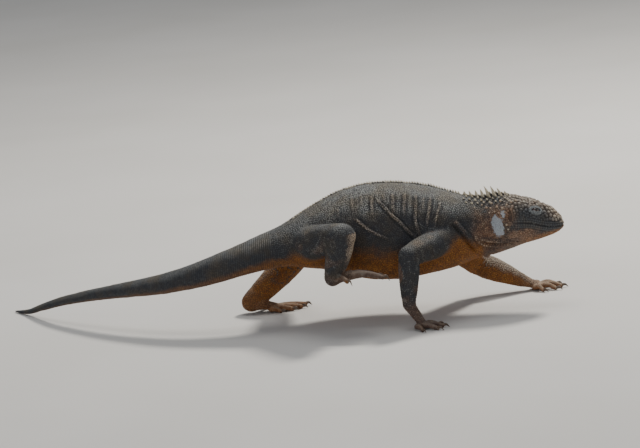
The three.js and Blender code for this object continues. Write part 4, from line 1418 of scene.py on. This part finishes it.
def joined(name, parts, material):
    """One object of several lofts, with their tip and tone values."""
    points, faces = merge([(p, f) for p, f, _, _ in parts])
    made = mesh_object(name, to_world(points), faces)
    set_attribute(made.data, "tip", np.concatenate([tip for _, _, tip, _ in parts]))
    set_attribute(made.data, "tone", np.concatenate([tone for _, _, _, tone in parts]))
    made.data.materials.append(material)
    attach(made, "root")
    return made


def make_crest(surface, material):
    """The low spines of the back."""
    parts = []
    for x in np.arange(CREST["start"], CREST["end"], CREST["step"]):
        place, out, heading = top_of(surface, x)
        share = np.interp(x, [CREST["start"], 20, 90, 170, CREST["end"]], [0.55, 0.85, 1, 1, 0.95])
        height = CREST["height"] * share * RANDOM.uniform(0.85, 1.15)
        side = np.array([0, RANDOM.uniform(-0.4, 0.4), 0])
        shape = (height, CREST["long"], CREST["wide"], CREST["lean"])
        parts.append(blade(place + side, unit(out + side * 0.3), heading, *shape, RANDOM.uniform()))
    joined("crest", parts, material)


def make_nape(surface, material):
    """The tall spines of the nape, a short one after each, and rows of small ones beside them."""
    parts = []
    long, wide = NAPE["long"], NAPE["wide"]
    for i, height in enumerate(NAPE["heights"]):
        x = NAPE["start"] + NAPE["step"] * i
        place, out, heading = top_of(surface, x)
        lean = NAPE["lean"] * (1 + 0.25 * RANDOM.uniform(-1, 1))
        parts.append(blade(place, out, heading, height, long, wide, lean, RANDOM.uniform(0.75, 1.1)))
        place, out, heading = top_of(surface, x + NAPE["step"] / 2)
        parts.append(blade(place, out, heading, height * 0.5, long * 0.85, wide, lean, RANDOM.uniform(0, 0.3)))
        for side in (-1, 1):
            for turn, share, ahead in ((0.2, 0.38, 2.1), (0.36, 0.24, -2.1), (0.5, 0.16, 1.0)):
                beside, out, _ = skin_around(x + ahead, math.pi / 2 - turn, side)
                root = surface.nearest(beside[None])[0][0]
                shape = (1.6 + height * share * RANDOM.uniform(0.8, 1.15), 2.0, 1.6, 0.3)
                parts.append(blade(root, unit(out + (0, 0, 0.8)), heading, *shape, RANDOM.uniform(0, 0.8)))
    joined("nape_spines", parts, material)


# Eyes: a glossy ball under a ring of granular lids.

def eye_centre(side):
    """Centre of the eyeball, and the directions out of the head, forward and up over the eye."""
    point, out, along = skin_at(EYE["x"], EYE["z"], side)
    return point - out * EYE["depth"], out, along, unit(np.cross(along, out) * side)


def make_eye(name, side, material):
    centre, out, along, up = eye_centre(side)
    c, s = circle(64)
    rings = []
    for lean in np.linspace(0.02, math.pi - 0.02, 40):
        bulge = EYE["radius"] * (1 + 0.05 * step_between(0.62, 0.2, lean))
        size = math.sin(lean) * EYE["radius"]
        middle = centre + out * math.cos(lean) * bulge
        rings.append(middle + np.outer(c, along) * size + np.outer(s, up) * size)
    points, faces = loft(np.array(rings)[::-1])
    away = np.linalg.norm(np.cross(points - centre, out), axis=1) / EYE["radius"]
    away = np.where((points - centre) @ out < 0, 1, away)
    eye = joined(f"{name}_ball", [(points, faces, away, np.zeros(len(points)))], material)
    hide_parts(name)


def lid_point(side, turn, share):
    """Over the lids: share 0 is the inner rim under the ball's front, 1 the outer edge in the skin."""
    centre, out, along, up = eye_centre(side)
    half = lid_half(share)
    lower = 1.0 if math.sin(turn) > 0 else 0.92
    flat = along * (math.cos(turn) * half[0]) + up * (math.sin(turn) * half[1] * lower)
    spread, cover = np.linalg.norm(flat), EYE["radius"] + 0.75
    ball = math.sqrt(max(cover**2 - spread**2, 0))
    rim = EYE["depth"] - 1.1
    if share < 0.2:
        height = ball
    elif spread < cover:
        height = max(ball, rim + 1.26 * math.sin(math.pi * min((share - 0.2) / 0.8, 1)))
    else:
        height = rim + 1.26 * math.sin(math.pi * share)
    return centre + flat + out * height


def lid_half(share):
    """Half sizes of the ring at a share of the way from the slit to the outer edge."""
    inner, outer = np.array(EYE["slit"]), np.array(EYE["lids"])
    return inner + (outer - inner) * share


def lid_ring(side):
    """The wrinkled surface of both lids, closed behind."""
    sides = 96
    levels = np.array([-0.12, 0.0, 0.05, 0.12, 0.24, 0.36, 0.48, 0.6, 0.72, 0.84, 1.0, 1.14])
    rings = []
    turns = np.linspace(0, 2 * math.pi, sides, endpoint=False)
    out = eye_centre(side)[1]
    for level in levels:
        ring = []
        for turn in turns:
            point = lid_point(side, turn, max(level, 0))
            if level < 0:
                point = point - out * 1.6
            if level > 0.1:
                wrinkle = math.sin(level * 40) * 0.14 + math.sin(turn * 24 + level * 9) * 0.1
                point = point + out * wrinkle
            if level > 1:
                point = point - out * 2.4
            ring.append(point)
        rings.append(np.array(ring))
    rings += [rings[-1] - out * 2.5, rings[0] - out * 0.8]
    points = np.vstack(rings)
    index = np.arange(len(points)).reshape(len(rings), sides)
    after = np.roll(index, -1, axis=1)
    faces = np.stack([index, after, np.roll(after, -1, axis=0), np.roll(index, -1, axis=0)], axis=-1)
    faces = faces.reshape(-1, 4)
    if side > 0:
        faces = faces[:, ::-1]
    tip = np.concatenate([np.repeat(np.clip(levels, 0, 1) ** 0.5, sides), np.zeros(2 * sides)])
    return points, [faces], tip, np.full(len(points), 0.5)


def make_lids(name, side, surface, material):
    """Two lids in one ring: rows of fine grains along the slit, thicker beads at the outer edge."""
    _, out, along, up = eye_centre(side)
    lids = [lid_ring(side)]
    for row, (share, size) in enumerate(LID_GRAINS):
        count = round(math.pi * sum(lid_half(share)) * 1.02 / (size * 1.75))
        for k in range(count):
            turn = 2 * math.pi * (k + 0.5 * (row % 2)) / count
            place = lid_point(side, turn, min(share, 1.0))
            if share > 1:
                place = surface.nearest(place[None])[0][0]
            lids.append(grain(place, out, along, up, size * RANDOM.uniform(0.85, 1.1)))
    joined(f"{name}lids", lids, material)


def grain(place, out, along, up, size):
    """A small low bead."""
    c, s = circle(8)
    rings = []
    for r, h in ((1.0, -0.5), (1.0, 0.15), (0.72, 0.55), (0.3, 0.75)):
        rings.append(place + out * h * size + np.outer(c * r * size, along) + np.outer(s * r * size * 0.9, up))
    return lofted(rings, [0, 0.3, 0.8, 1.0], RANDOM.uniform())


# Claws: curved horn, deeper than wide, out of a fleshy collar at the toe's end.

def make_claws(material):
    sides = 16
    c, s = (v[None, :, None] for v in circle(sides))
    t = np.linspace(0, 1, 22)
    for node, (path, thick) in CLAWS.items():
        root, middle, end = (np.array(p, float) for p in path)
        place = catmull([root - (middle - root) * 0.12, middle + (0, 0, 1.3), end], t)
        tangent = unit(np.gradient(place, axis=0))
        aside = unit(np.cross(tangent, (0, 0, 1.0)))
        up = np.cross(aside, tangent)
        size = thick * 0.62 * (1 - t**1.25) ** 0.85 + 0.14
        rings = place[:, None, :] + c * aside[:, None, :] * (size * 0.68)[:, None, None]
        rings = rings + s * up[:, None, :] * size[:, None, None]
        rings[:, :, 2] = np.maximum(rings[:, :, 2], 0.02)
        claw = joined(f"{node}_horn", [lofted(rings, t, 0)], material)
        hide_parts(node)


# Floor and lights.

def make_floor(material):
    sides = 64
    rim = np.stack([*circle(sides), np.zeros(sides)], axis=1) * FLOOR_RADIUS
    floor = mesh_object("studio_floor", rim, [np.arange(sides)[None]])
    floor.data.materials.append(material)


def area_light(name, place, size, power, colour):
    """A round soft light that faces the middle of the animal."""
    light = bpy.data.lights.new(name, "AREA")
    light.shape = "DISK"
    light.size = size
    light.energy = power
    light.color = colour
    made = bpy.data.objects.new(name, light)
    made.location = place
    made.rotation_euler = (Vector((0, 0, 0.1)) - Vector(place)).to_track_quat("-Z", "Y").to_euler()
    bpy.context.scene.collection.objects.link(made)


def make_lights():
    area_light("key", (1.3, 1.5, 2.5), 0.6, 105, (1.0, 0.96, 0.89))
    area_light("top", (0.2, 0.3, 3.0), 1.6, 22, (1.0, 0.98, 0.95))
    area_light("front", (-0.9, -2.8, 1.1), 2.4, 20, (0.93, 0.96, 1.0))
    world = bpy.data.worlds.new("studio")
    world.use_nodes = True
    sky = world.node_tree.nodes["Background"]
    sky.inputs["Color"].default_value = (0.82, 0.86, 0.92, 1)
    sky.inputs["Strength"].default_value = 0.36
    bpy.context.scene.world = world


# The whole animal.

def mark_skin(skin, roots):
    """The skin takes the markings of the scales on it, so that what shows between them agrees."""
    co, _, _ = mesh_arrays(skin.data)
    tree = tree_of(roots["place"])
    nearest = np.array([tree.find(p)[1] for p in to_own(co)])
    set_attribute(skin.data, "marks", roots["marks"][nearest])


def main():
    skin = make_base_skin()
    sculpt(skin)
    surface = SkinSurface(skin)
    scales = Scales()
    tail_scales(surface, scales)
    digit_scales(surface, scales)
    grain_scales(skin, scales)
    head_scales(surface, scales)
    side_cones(surface, scales)
    mark_skin(skin, make_coat(scales, hide_material("scale_hide", True)))
    skin.data.materials.append(hide_material("skin_hide", False))
    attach(skin, "root")
    flesh = [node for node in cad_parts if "claw" not in node and "eye" not in node]
    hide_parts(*flesh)
    horn = spine_material()
    make_crest(surface, horn)
    make_nape(surface, horn)
    lids, glass = lid_material(), eye_material()
    for name, side in (("right_eye", -1), ("left_eye", 1)):
        make_eye(name, side, glass)
        make_lids(name, side, surface, lids)
    make_claws(claw_material())
    make_floor(floor_material())
    make_lights()


main()
